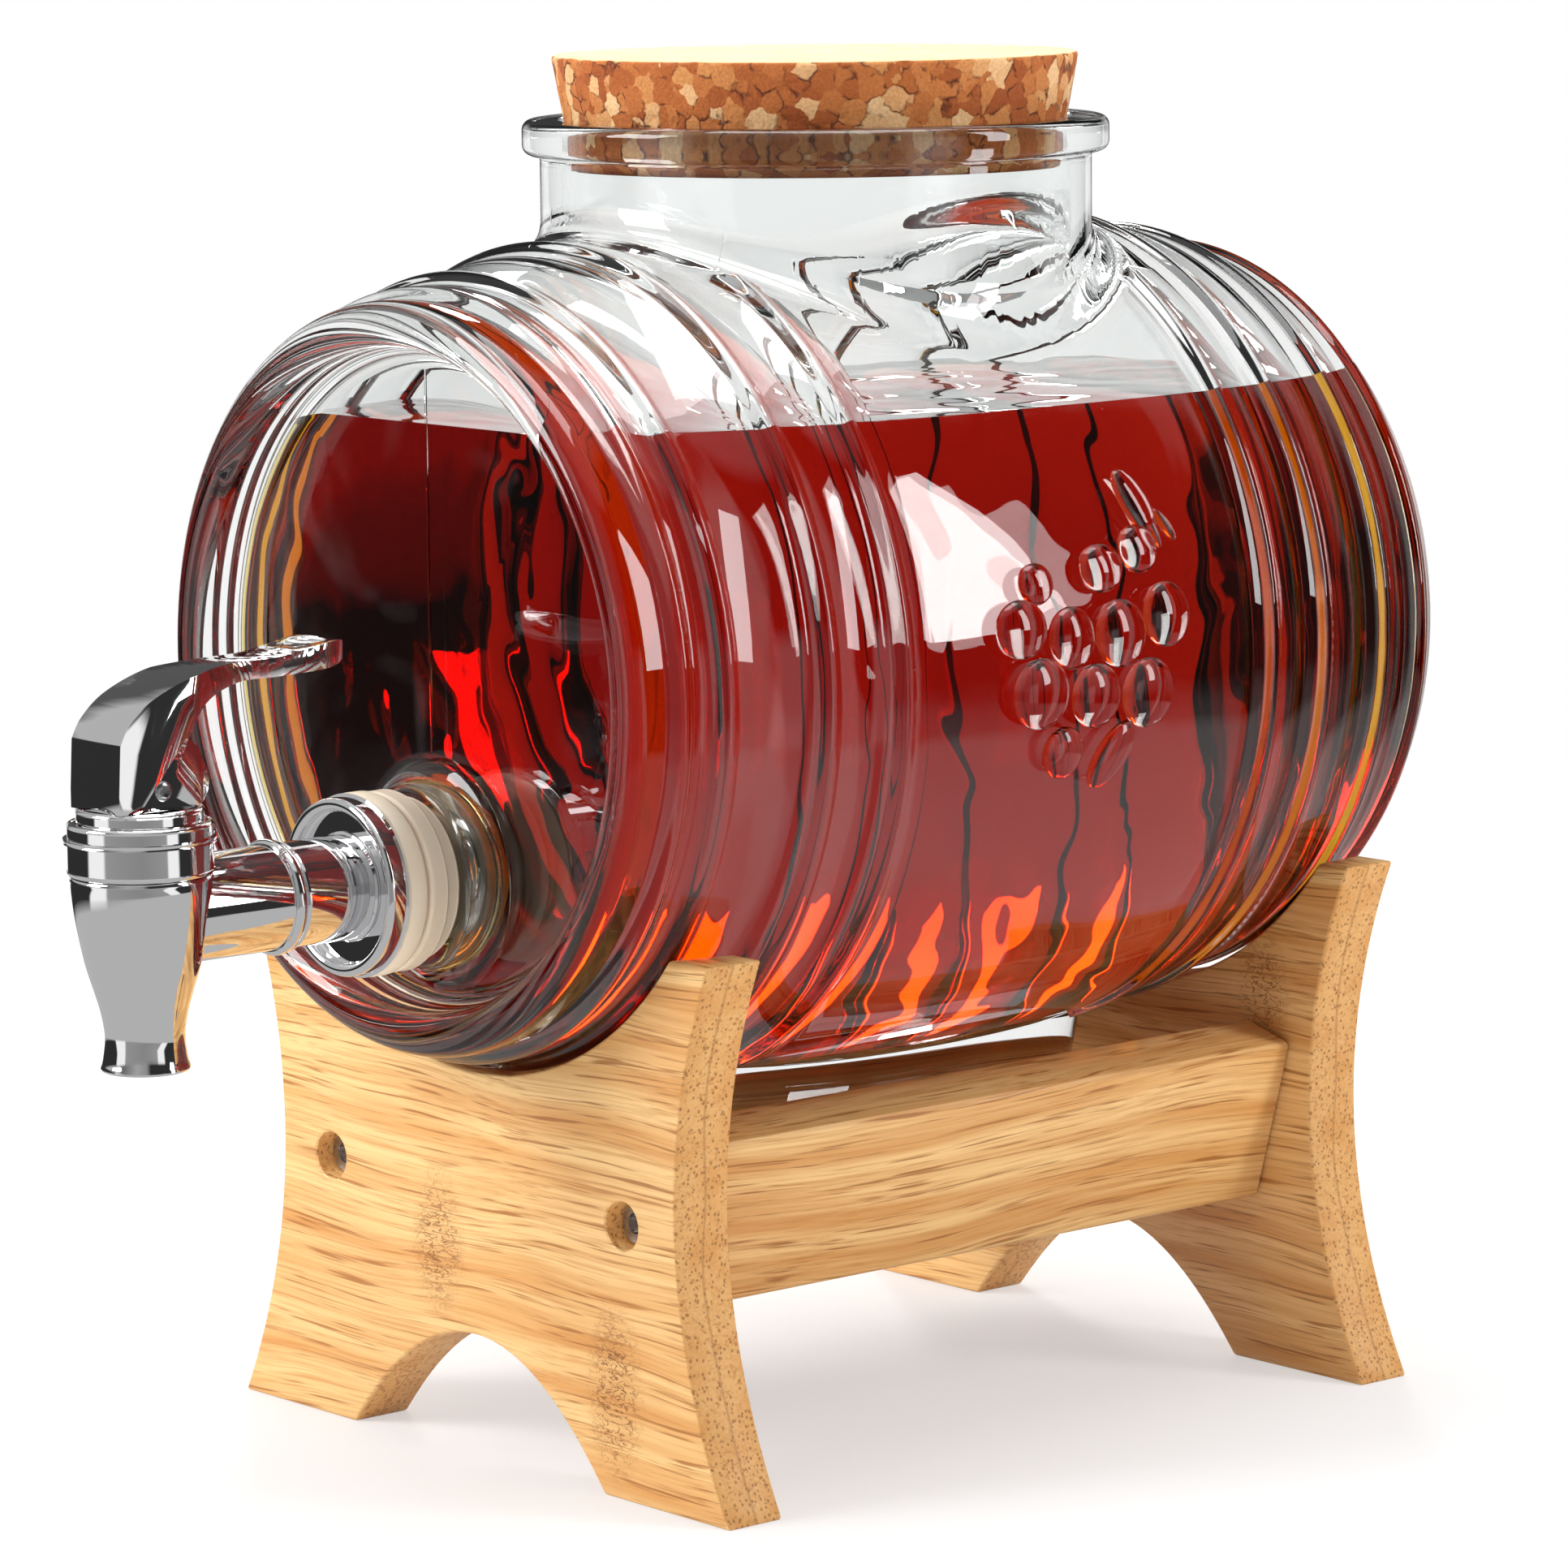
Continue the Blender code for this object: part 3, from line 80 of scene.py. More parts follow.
def figured(tree, operation, first, second=None, **settings):
    """The result of a Math node."""
    inputs = {0: first} if second is None else {0: first, 1: second}
    return add(tree, "ShaderNodeMath", inputs, operation=operation, **settings).outputs[0]


def spanned(tree, value, low, high, start=0.0, end=1.0):
    """The value mapped from low and high to start and end, held at both."""
    return add(tree, "ShaderNodeMapRange", {0: value, 1: low, 2: high, 3: start, 4: end}).outputs[0]


def mixed(tree, share, low, high, **settings):
    """A colour mix: low at share 0, high at share 1."""
    return add(tree, "ShaderNodeMix", {0: share, 6: low, 7: high}, data_type="RGBA", **settings).outputs[2]


def noise_of(tree, place, scale, detail, **more):
    """A noise texture; more gives its other inputs."""
    return add(tree, "ShaderNodeTexNoise", {"Vector": place, "Scale": scale, "Detail": detail, **more})


def object_place(tree):
    return add(tree, "ShaderNodeTexCoord").outputs["Object"]


def bumped(tree, strength, distance, height):
    """A bump normal; distance in metres."""
    inputs = {"Strength": strength, "Distance": distance, "Height": height}
    return add(tree, "ShaderNodeBump", inputs).outputs[0]


def ramp_of(tree, value, stops):
    """A grey ramp through (place, level) stops."""
    node = add(tree, "ShaderNodeValToRGB", {0: value})
    bar = node.color_ramp
    for element, (place, level) in zip(bar.elements, (stops[0], stops[-1])):
        element.position = place
        element.color = grey(level)
    for place, level in stops[1:-1]:
        bar.elements.new(place).color = grey(level)
    return node.outputs[0]


# The camera's heading, and the room's grey levels as (place, level) stops. A wall's place goes round
# from behind the object, 0.5 is the camera's side. A height's place is the sine of its elevation.
VIEW_AZIMUTH = math.radians(49.4676)
MIRROR_WALL_STOPS = ((0.0, 0.05), (0.03, 0.05), (0.05, 0.9), (0.08, 0.9), (0.09, 0.03), (0.275, 0.03),
                     (0.285, 1.0), (0.35, 1.0), (0.36, 0.33), (0.5, 0.27), (0.605, 0.33), (0.613, 1.0),
                     (0.658, 1.0), (0.668, 0.03), (0.915, 0.03), (0.93, 0.9), (0.96, 0.9), (0.97, 0.05),
                     (1.0, 0.05))
MIRROR_SKY_STOPS = ((0.0, 0.1), (0.08, 0.1), (0.12, 0.5), (0.3, 0.5), (0.34, 0.15), (0.45, 0.4),
                    (0.52, 0.3), (0.55, 0.03), (0.95, 0.03), (1.0, 0.1))
SKY_SHARE_STOPS = ((0.0, 0.0), (0.1, 0.0), (0.2, 1.0), (1.0, 1.0))
ZENITH_STOPS = ((0.0, 0.0), (0.74, 0.0), (0.8, 1.0), (1.0, 1.0))
ZENITH_LEVEL = 0.65
GLASS_WALL_STOPS = ((0.0, 1.0), (0.17, 1.0), (0.2, 0.04), (0.275, 0.03), (0.285, 0.9), (0.345, 0.9),
                    (0.355, 0.15), (0.5, 0.12), (0.605, 0.15), (0.613, 0.9), (0.658, 0.9), (0.668, 0.03),
                    (0.8, 0.04), (0.83, 1.0), (1.0, 1.0))
GLASS_SKY_STOPS = ((0.0, 1.0), (0.72, 1.0), (0.8, 0.45), (1.0, 0.45))
MATT_SURROUNDING = (0.44, 0.44, 0.45, 1)


def studio_level(tree, heading):
    """The room by heading: dark flags and bright strips to mirrors, white behind the glass."""
    to_eye = (0, 0, math.pi / 2 - VIEW_AZIMUTH)
    turned_to_eye = add(tree, "ShaderNodeMapping", {0: heading, "Rotation": to_eye}, vector_type="NORMAL")
    parts = add(tree, "ShaderNodeSeparateXYZ", {0: turned_to_eye.outputs[0]}).outputs
    up = parts["Z"]
    around = spanned(tree, figured(tree, "ARCTAN2", parts["Y"], parts["X"]), -math.pi, math.pi)
    walls = mixed(tree, ramp_of(tree, up, SKY_SHARE_STOPS), ramp_of(tree, around, MIRROR_WALL_STOPS),
                  ramp_of(tree, around, MIRROR_SKY_STOPS))
    mirrored = mixed(tree, ramp_of(tree, up, ZENITH_STOPS), walls, grey(ZENITH_LEVEL))
    through = mixed(tree, 1.0, ramp_of(tree, around, GLASS_WALL_STOPS), ramp_of(tree, up, GLASS_SKY_STOPS),
                    blend_type="MULTIPLY")
    bent = add(tree, "ShaderNodeLightPath").outputs["Is Transmission Ray"]
    return mixed(tree, bent, mirrored, through)


PAPER_RADIUS = 30
PAPER_SHADE_START = 0.2
PAPER_SHADE_END = 1.0
PAPER_NEAR_GLOW = 0.5
PAPER_EDGE_START = 0.52
PAPER_EDGE_END = 0.6
PAPER_MIRRORED = 0.5


def paper_shader(tree):
    """Matt paper that fades to a white glow; to mirrors, a grey table with the studio past its edge."""
    where = object_place(tree)
    far = add(tree, "ShaderNodeVectorMath", {0: where}, operation="LENGTH").outputs["Value"]
    path = add(tree, "ShaderNodeLightPath").outputs
    eye_glow = spanned(tree, far, PAPER_SHADE_START, PAPER_SHADE_END, PAPER_NEAR_GLOW, 1.0)
    past_edge = spanned(tree, far, PAPER_EDGE_START, PAPER_EDGE_END)
    seen = figured(tree, "MAXIMUM", path["Is Camera Ray"], path["Is Transmission Ray"])
    mirrored = figured(tree, "SUBTRACT", path["Is Glossy Ray"], path["Is Transmission Ray"], use_clamp=True)
    table = figured(tree, "SUBTRACT", mirrored, past_edge, use_clamp=True)
    room = mixed(tree, table, studio_level(tree, where), grey(PAPER_MIRRORED))
    level = mixed(tree, path["Is Camera Ray"], room, grey(1))
    share = figured(tree, "MAXIMUM", figured(tree, "MULTIPLY", eye_glow, seen), mirrored)
    lit = add(tree, "ShaderNodeBsdfDiffuse", {"Color": hex_colour("F7F5F4")})
    glow = add(tree, "ShaderNodeEmission", {"Color": level, "Strength": 1.0})
    return add(tree, "ShaderNodeMixShader", {0: share, 1: lit.outputs[0], 2: glow.outputs[0]})


bm = bmesh.new()
bmesh.ops.create_circle(bm, cap_ends=True, segments=64, radius=PAPER_RADIUS)
paper_mesh = bpy.data.meshes.new("paper")
bm.to_mesh(paper_mesh)
bm.free()
paper = bpy.data.objects.new("paper", paper_mesh)
paper_mesh.materials.append(finish("white_paper", paper_shader))
bpy.context.collection.objects.link(paper)


def studio_air(tree):
    """White to the eye, the studio to mirrors and glass, and an even grey to matt surfaces."""
    path = add(tree, "ShaderNodeLightPath").outputs
    sharp = figured(tree, "MAXIMUM", path["Is Glossy Ray"], path["Is Transmission Ray"])
    where = add(tree, "ShaderNodeTexCoord").outputs["Generated"]
    room = mixed(tree, sharp, MATT_SURROUNDING, studio_level(tree, where))
    return add(tree, "ShaderNodeBackground", {"Color": mixed(tree, path["Is Camera Ray"], room, grey(1)),
                                              "Strength": 1.0})


air = bpy.data.worlds.new("studio air")
air.use_nodes = True
air.node_tree.nodes.clear()
add(air.node_tree, "ShaderNodeOutputWorld", {"Surface": studio_air(air.node_tree).outputs[0]})
bpy.context.scene.world = air


def lamp(name, place, target, width, height, watts):
    """A soft box that faces the target."""
    data = bpy.data.lights.new(name, "AREA")
    data.shape = "RECTANGLE"
    data.size = width
    data.size_y = height
    data.energy = watts
    made = bpy.data.objects.new(name, data)
    made.location = place
    made.rotation_euler = (Vector(target) - Vector(place)).to_track_quat("-Z", "Y").to_euler()
    bpy.context.collection.objects.link(made)


OBJECT_MIDDLE = (0, 0.03, 0.17)
lamp("side box", (0.95, 0.64, 0.60), (0.087, 0.002, 0.194), 0.24, 0.77, 5.5)
lamp("front box", (-0.75, -1.45, 1.0), OBJECT_MIDDLE, 0.8, 1.0, 28)
lamp("top box", (-0.05, 0.15, 1.5), OBJECT_MIDDLE, 1.0, 0.8, 14)
lamp("back glow", (-0.92, 0.77, 0.70), OBJECT_MIDDLE, 0.16, 0.5, 6)

EYE = (1.0631, -0.8808, 0.3410)
VIEW_DOWN = math.radians(8.376)
VIEW_ROLL = math.radians(-0.572)
SENSOR_WIDTH = 36
LENS_PIXELS = 8015.14
FRAME_PIXELS = 1932
camera_data = bpy.data.cameras.new("camera")
camera_data.sensor_width = SENSOR_WIDTH
camera_data.lens = SENSOR_WIDTH * LENS_PIXELS / FRAME_PIXELS
camera = bpy.data.objects.new("camera", camera_data)
camera.location = EYE
turn = (Matrix.Rotation(VIEW_AZIMUTH, 3, "Z") @ Matrix.Rotation(math.pi / 2 - VIEW_DOWN, 3, "X")
        @ Matrix.Rotation(VIEW_ROLL, 3, "Z"))
camera.rotation_euler = turn.to_euler()
bpy.context.collection.objects.link(camera)
bpy.context.scene.camera = camera
bpy.context.scene.view_settings.view_transform = "Standard"

# Front and rear boards: two plies of bamboo strip glued flat, sawn to the cradle outline, sanded
# round at the edges, and counterbored from outside for the rail screws. All sizes from here are mm.

BARREL_MIDDLE = 38.95
AXIS_HEIGHT = 167.2
BARREL_HALF = 117.4
BELLY_RADIUS = 92.2
END_RADIUS = 77.1
RIM_DEPTH = 4.8
BELLY_POWER = 2.5


def belly(offset):
    """The barrel's smooth outside radius at a distance from its middle."""
    share = abs(offset) / (BARREL_HALF - RIM_DEPTH)
    return BELLY_RADIUS - (BELLY_RADIUS - END_RADIUS) * share ** BELLY_POWER


def made_object(name, bm, material=None):
    """A mesh object from a bmesh drawn in millimetres, normals outward."""
    bmesh.ops.recalc_face_normals(bm, faces=bm.faces)
    bmesh.ops.scale(bm, vec=(0.001, 0.001, 0.001), verts=bm.verts)
    mesh = bpy.data.meshes.new(name)
    bm.to_mesh(mesh)
    bm.free()
    if material:
        mesh.materials.append(material)
    thing = bpy.data.objects.new(name, mesh)
    bpy.context.collection.objects.link(thing)
    return thing


def settled(thing, angle=30):
    """Applies the object's modifiers, shades it smooth up to an angle and returns it."""
    bpy.context.view_layer.update()
    graph = bpy.context.evaluated_depsgraph_get()
    mesh = bpy.data.meshes.new_from_object(thing.evaluated_get(graph))
    thing.modifiers.clear()
    thing.data = mesh
    mesh.shade_smooth()
    mesh.set_sharp_from_angle(angle=math.radians(angle))
    return thing


def combined(base, operation, *tools):
    """Joins or cuts base with other closed objects, which are then gone."""
    group = bpy.data.collections.new("tools")
    for tool in tools:
        group.objects.link(tool)
    step = base.modifiers.new(operation, "BOOLEAN")
    step.operation = operation
    step.operand_type = "COLLECTION"
    step.collection = group
    step.solver = "EXACT"
    step.use_self = base.name == "grapes"
    settled(base)
    for tool in tools:
        bpy.data.objects.remove(tool)
    bpy.data.collections.remove(group)
    return base


def rounded(thing, width, segments=3, angle=40):
    """Bevels the edges sharper than the angle."""
    step = thing.modifiers.new("rounding", "BEVEL")
    step.width = width / 1000
    step.segments = segments
    step.limit_method = "ANGLE"
    step.angle_limit = math.radians(angle)
    step.harden_normals = True
    return settled(thing)


def turned(profile, steps, along_y=False, centre=(0, 0, 0), closed=False):
    """A bmesh turned from (radius, height) points; along_y lays its heights along +Y."""
    bm = bmesh.new()
    rings = []
    for radius, height in profile:
        angles = [math.tau * i / steps for i in range(steps if radius > 1e-6 else 1)]
        rings.append([bm.verts.new((radius * math.cos(a), radius * math.sin(a), height)) for a in angles])
    pairs = list(zip(rings, rings[1:]))
    if closed:
        pairs.append((rings[-1], rings[0]))
    for lower, upper in pairs:
        for i in range(steps):
            corners = []
            for ring, k in ((lower, i), (lower, i + 1), (upper, i + 1), (upper, i)):
                corner = ring[k % len(ring)]
                if corner not in corners:
                    corners.append(corner)
            if len(corners) > 2:
                bm.faces.new(corners)
    if along_y:
        bmesh.ops.rotate(bm, cent=(0, 0, 0), matrix=Matrix.Rotation(-math.pi / 2, 3, "X"), verts=bm.verts)
    bmesh.ops.translate(bm, vec=centre, verts=bm.verts)
    return bm


def loft(rings):
    """A closed bmesh skinned through rings of equal count."""
    bm = bmesh.new()
    loops = [[bm.verts.new(point) for point in ring] for ring in rings]
    count = len(loops[0])
    for lower, upper in zip(loops, loops[1:]):
        for i in range(count):
            bm.faces.new((lower[i], lower[(i + 1) % count], upper[(i + 1) % count], upper[i]))
    bm.faces.new(loops[0][::-1])
    bm.faces.new(loops[-1])
    return bm


def soft_corners(corners, steps=4):
    """Rounds a profile's corners, given as (across, up, rounding), with flats held beside each."""
    points = []
    count = len(corners)
    for i, (x, y, size) in enumerate(corners):
        here = Vector((x, y))
        if not size:
            points.append((x, y))
            continue
        before = (Vector(corners[i - 1][:2]) - here).normalized()
        after = (Vector(corners[(i + 1) % count][:2]) - here).normalized()
        half = before.angle(after) / 2
        reach = size / math.tan(half)
        centre = here + (before + after).normalized() * size / math.sin(half)
        first = here + before * reach
        last = here + after * reach
        points.append(tuple(first + before * size * 0.15))
        for k in range(steps + 1):
            arm = (first - centre).slerp(last - centre, k / steps) if k else first - centre
            points.append(tuple(centre + arm))
        points.append(tuple(last + after * size * 0.15))
    return points


def bamboo(name, turn_z, middle, marks=()):
    """Oiled bamboo: honey strips with long fibre streaks, dotted end grain and dark node scars."""
    def shader(tree):
        def scaled(vector, scale):
            return add(tree, "ShaderNodeMapping", {0: vector, "Scale": scale}).outputs[0]

        def turned_by(vector, kind):
            return add(tree, "ShaderNodeMapping", {0: vector, "Rotation": (0, 0, turn_z)},
                       vector_type=kind).outputs[0]

        def vector_of(operation, *inputs):
            return add(tree, "ShaderNodeVectorMath", dict(enumerate(inputs)), operation=operation).outputs

        def noise_field(scale, detail, **more):
            return noise_of(tree, scaled(swayed, scale), 1.0, detail, **more).outputs[0]

        def tinted(base, share, code):
            return mixed(tree, share, base, hex_colour(code))

        def times(a, b):
            return figured(tree, "MULTIPLY", a, b)

        mm = add(tree, "ShaderNodeMapping", {0: object_place(tree), "Location": Vector(middle) * -1000,
                                             "Scale": (1000, 1000, 1000)}).outputs[0]
        grain = turned_by(mm, "POINT")
        sway = noise_of(tree, scaled(grain, (0.012, 0.03, 0.03)), 1.0, 1.0).outputs["Color"]
        lean = vector_of("SUBTRACT", sway, (0.5, 0.5, 0.5))[0]
        swayed = vector_of("MULTIPLY_ADD", lean, (0, 6, 9), grain)[0]
        broad = noise_field((0.007, 0.12, 0.16), 3.0)
        fibre = noise_field((0.02, 1.1, 1.3), 4.0, Roughness=0.65)
        dash = noise_field((0.035, 0.8, 1.25), 2.0)
        bundle = add(tree, "ShaderNodeTexVoronoi", {"Vector": scaled(swayed, (0.015, 0.85, 0.85)),
                                                    "Scale": 1.0}).outputs["Distance"]
        colour = tinted(hex_colour("F4C987"), spanned(tree, broad, 0.42, 0.66), "DDA05A")
        colour = tinted(colour, spanned(tree, fibre, 0.46, 0.7, 0.0, 0.7), "C7843D")
        colour = tinted(colour, spanned(tree, dash, 0.57, 0.68, 0.0, 0.85), "A9692B")

        facing = turned_by(add(tree, "ShaderNodeTexCoord").outputs["Normal"], "VECTOR")
        ends = figured(tree, "ABSOLUTE", add(tree, "ShaderNodeSeparateXYZ", {0: facing}).outputs["X"])
        end_share = spanned(tree, ends, 0.35, 0.7)
        dots = times(spanned(tree, bundle, 0.36, 0.2), end_share)
        colour = tinted(colour, times(end_share, 0.6), "D99C54")
        colour = tinted(colour, times(dots, 0.85), "A06B33")
        across = figured(tree, "ABSOLUTE", add(tree, "ShaderNodeSeparateXYZ", {0: swayed}).outputs["Y"])
        glue = times(spanned(tree, across, 0.5, 0.15), end_share)
        colour = tinted(colour, times(glue, 0.5), "A8743C")

        scribble = noise_field((0.32, 0.3, 0.75), 2.5, Distortion=0.8)
        off_line = figured(tree, "ABSOLUTE", figured(tree, "SUBTRACT", scribble, 0.5))
        stroke = spanned(tree, off_line, 0.045, 0.012)
        for mark_x, mark_z, reach_x, reach_z in marks:
            away = vector_of("SUBTRACT", swayed, (mark_x, 0, mark_z))[0]
            shares = vector_of("MULTIPLY", away, (1 / reach_x, 0, 1 / reach_z))[0]
            inside = spanned(tree, vector_of("LENGTH", shares)["Value"], 1.1, 0.45)
            colour = tinted(colour, times(inside, 0.25), "C08848")
            colour = tinted(colour, times(inside, times(stroke, 0.9)), "8A5526")
        relief = figured(tree, "SUBTRACT", fibre, dots)
        return add(tree, "ShaderNodeBsdfPrincipled", {
            "Base Color": colour, "Roughness": spanned(tree, fibre, 0.3, 0.8, 0.4, 0.58),
            "Normal": bumped(tree, 0.25, 0.0002, relief)})
    return finish(name, shader)


BOARD_HALF = 7.2
BOARD_HEIGHT = 115
FOOT_HALF = 83
WAIST_HALF = 66.7
HORN_HALF = 78.2
WAIST_HEIGHT = 62
ARCH_HALF = 42.8
ARCH_HEIGHT = 26.5
RAIL_LEAN = math.radians(16)
RAIL_X = 49.6
RAIL_Z = 57.8
HOOP_RISE = 1.5
SEAT_GAP = 0.3
BOARD_ROUNDING = 0.8
FRONT_HOOP_INSET = 21.6
REAR_HOOP_INSET = 27.8


def cradle_outline(radius):
    """The board's outline for a cradle of this radius, the same points round for any radius."""
    half = []
    for k in range(1, 25):
        x = ARCH_HALF * k / 24
        half.append((x, ARCH_HEIGHT * (1 - (x / ARCH_HALF) ** 2)))
    for k in range(17):
        up = k / 16
        half.append((WAIST_HALF + (FOOT_HALF - WAIST_HALF) * (1 - up) ** 2, WAIST_HEIGHT * up))
    for k in range(1, 15):
        up = k / 14
        half.append((WAIST_HALF + (HORN_HALF - WAIST_HALF) * up ** 2,
                     WAIST_HEIGHT + (BOARD_HEIGHT - WAIST_HEIGHT) * up))
    start = math.acos((AXIS_HEIGHT - BOARD_HEIGHT) / radius)
    for k in range(25):
        angle = start * (1 - k / 25)
        half.append((radius * math.sin(angle), AXIS_HEIGHT - radius * math.cos(angle)))
    low = (0, AXIS_HEIGHT - radius)
    return [(0, ARCH_HEIGHT)] + half + [low] + [(-x, z) for x, z in reversed(half)]


def board(name, middle, outward, hoop_inset, marks):
    """One board, its counterbores on the outward side and its cradle eased to the barrel's hoop."""
    hoop_radius = belly(BARREL_HALF - hoop_inset) + HOOP_RISE + SEAT_GAP
    inner = abs(middle - outward * BOARD_HALF - BARREL_MIDDLE)
    radii = {outward: hoop_radius, -outward: max(hoop_radius, belly(inner) + HOOP_RISE + SEAT_GAP)}
    rings = [[(x, middle + side * BOARD_HALF, z) for x, z in cradle_outline(radii[side])] for side in (-1, 1)]
    oiled = bamboo(f"oiled_bamboo_{name}", 0, (0, middle / 1000, 0), marks)
    thing = rounded(made_object(name, loft(rings), oiled), BOARD_ROUNDING)
    tools = []
    for side in (-1, 1):
        face = middle + outward * BOARD_HALF
        hole = [(0, 20), (6.3, 20), (5.7, 0), (5.25, -0.25), (5, -0.8), (5, -7.5), (2.5, -7.5), (2.5, -30),
                (0, -30)]
        bm = turned([(r, h * outward) for r, h in hole], 48, True, (side * RAIL_X, face, RAIL_Z))
        tools.append(made_object("counterbore", bm))
    combined(thing, "DIFFERENCE", *tools)
    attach(thing, "stand")
    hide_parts(name)


board("front_board", -52.05, -1, FRONT_HOOP_INSET, ((-12, 45, 9, 17), (47, 22, 9, 20)))
board("rear_board", 129.95, 1, REAR_HOOP_INSET, ((52, 84, 8, 14), (-30, 60, 9, 15), (-60, 18, 8, 14)))

# Side rails: solid bamboo bars that lean outward, butted between the boards on a screw and a
# dowel at each end, with their long edges eased.

RAIL_HALF_LENGTH = 83.5
RAIL_HALF_THICK = 6.9
RAIL_HALF_HIGH = 18.8
RAIL_ROUNDING = 1.1

for side_name, side in (("left", -1), ("right", 1)):
    corners = ((-RAIL_HALF_THICK, -RAIL_HALF_HIGH), (RAIL_HALF_THICK, -RAIL_HALF_HIGH),
               (RAIL_HALF_THICK, RAIL_HALF_HIGH), (-RAIL_HALF_THICK, RAIL_HALF_HIGH))
    lean = Matrix.Rotation(-side * RAIL_LEAN, 2)
    section = [lean @ Vector(corner) + Vector((side * RAIL_X, RAIL_Z)) for corner in corners]
    rings = [[(p.x, BARREL_MIDDLE + end * RAIL_HALF_LENGTH, p.y) for p in section] for end in (-1, 1)]
    oiled = bamboo(f"oiled_bamboo_rail_{side_name}", math.pi / 2, (side * RAIL_X / 1000 * 2, 0, 0))
    rail = rounded(made_object(f"rail_{side_name}", loft(rings), oiled), RAIL_ROUNDING)
    tools = []
    for end in (-1, 1):
        for depth, radius, drop in ((28.3, 2.5, 0), (15.3, 3.3, 11)):
            start = (side * (RAIL_X - drop * math.sin(RAIL_LEAN)), BARREL_MIDDLE + end * RAIL_HALF_LENGTH,
                     RAIL_Z - drop * math.cos(RAIL_LEAN))
            hole = [(0, 9 * end), (radius, 9 * end), (radius, -depth * end), (0, -depth * end)]
            tools.append(made_object("rail hole", turned(hole, 20, True, start)))
    combined(rail, "DIFFERENCE", *tools)
    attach(rail, "stand")
    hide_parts(f"rail_{side_name}")

# Rail screws and dowels: bright socket-head screws sunk in the counterbores, and beech pegs that
# stop the rails from turning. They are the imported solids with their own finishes.


def metal(name, code, roughness, grain_mm, depth_mm):
    """Bare or plated metal with a faint unevenness that keeps its reflections alive."""
    def shader(tree):
        uneven = noise_of(tree, object_place(tree), 1000 / grain_mm, 2.0).outputs[0]
        return add(tree, "ShaderNodeBsdfPrincipled", {
            "Base Color": hex_colour(code), "Metallic": 1.0,
            "Roughness": spanned(tree, uneven, 0.0, 1.0, roughness * 0.6, roughness * 1.4),
            "Normal": bumped(tree, 0.5, depth_mm / 1000, uneven)})
    return finish(name, shader)


steel = metal("stainless_steel_turned", "B9BABB", 0.24, 0.8, 0.01)


def redressed(material, kind):
    """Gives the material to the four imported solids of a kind, at both ends of both rails."""
    for end in ("front", "rear"):
        for side in ("left", "right"):
            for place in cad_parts[f"{kind}_{end}_{side}"].material_slots:
                place.material = material


redressed(steel, "screw")


def beech_shader(tree):
    grain = add(tree, "ShaderNodeMapping", {0: object_place(tree), "Scale": (900, 90, 900)}).outputs[0]
    fleck = noise_of(tree, grain, 1.0, 3.0).outputs[0]
    colour = mixed(tree, fleck, hex_colour("D2A87A"), hex_colour("B98755"))
    return add(tree, "ShaderNodeBsdfPrincipled", {"Base Color": colour, "Roughness": 0.65})


redressed(finish("raw_beech", beech_shader), "dowel")

# Glass barrel: clear soda-lime glass pressed in a mould and fire-polished, with a thick rolled rim at
# each end, raised hoops, a flared neck with a heavy lip, a boss for the tap and an oval foot.

HOOP_HALF = 3.1
RIM_WIDTH = 9.6
RIM_STAND_OUT = 1.4
FACE_OFFSET = 106.6
GLASS_WALL = 4.2
NECK_RADIUS = 59.4
NECK_BORE = 54.6
NECK_TOP = 112
FOOT_BOTTOM = -107.2
TAP_DROP = 41.2
GLASS_STEPS = 192


def arc(centre, radii, start, end, steps):
    """Points on an ellipse's arc, angles in degrees from its first axis."""
    points = []
    for k in range(steps + 1):
        angle = math.radians(start + (end - start) * k / steps)
        points.append((centre[0] + radii[0] * math.cos(angle), centre[1] + radii[1] * math.sin(angle)))
    return points


def ridges(hoop_inset):
    """The bead and hoops of one end, (radius, distance from the barrel's middle)."""
    points = []
    first = BARREL_HALF - hoop_inset
    for middle in (BARREL_HALF - 12, first, first - 22.8, first - 40.8):
        for k in range(13):
            share = 1 - k / 6
            place = middle + share * HOOP_HALF
            points.append((belly(place) + HOOP_RISE * math.cos(share * math.pi / 2) ** 1.3, place))
    return points


rim_inner = END_RADIUS + RIM_STAND_OUT - RIM_WIDTH
end_points = [(0, FACE_OFFSET), (30, FACE_OFFSET), (58, FACE_OFFSET)]
end_points += arc((rim_inner - 5, FACE_OFFSET + 5), (5, 5), -90, 0, 8)
end_points += arc((rim_inner + RIM_WIDTH / 2, BARREL_HALF - RIM_DEPTH), (RIM_WIDTH / 2, RIM_DEPTH),
                  180, 0, 22)


def superellipse(half_x, half_y, z, count=96, squareness=2.6):
    """A level ring between an oval and a rectangle."""
    def squared(share):
        return math.copysign(abs(share) ** (2 / squareness), share)

    angles = [math.tau * k / count for k in range(count)]
    return [(half_x * squared(math.cos(a)), half_y * squared(math.sin(a)), z) for a in angles]


# The belly falls by BELLY_DROP up to RIM_START from the middle. The rear corner begins at REAR_START,
# where the belly leans by LEAN_AT_REAR.
BELLY_DROP = 15.1
RIM_START = 112.6
REAR_START = 106.1
REAR_INSET = 11.3
LEAN_AT_REAR = math.atan(BELLY_POWER * BELLY_DROP / RIM_START * (REAR_START / RIM_START) ** 1.5)
REAR_TURN = REAR_INSET / (1 - math.sin(LEAN_AT_REAR))
REAR_CENTRE = (belly(REAR_START) - REAR_TURN * math.cos(LEAN_AT_REAR), BARREL_HALF - REAR_TURN)


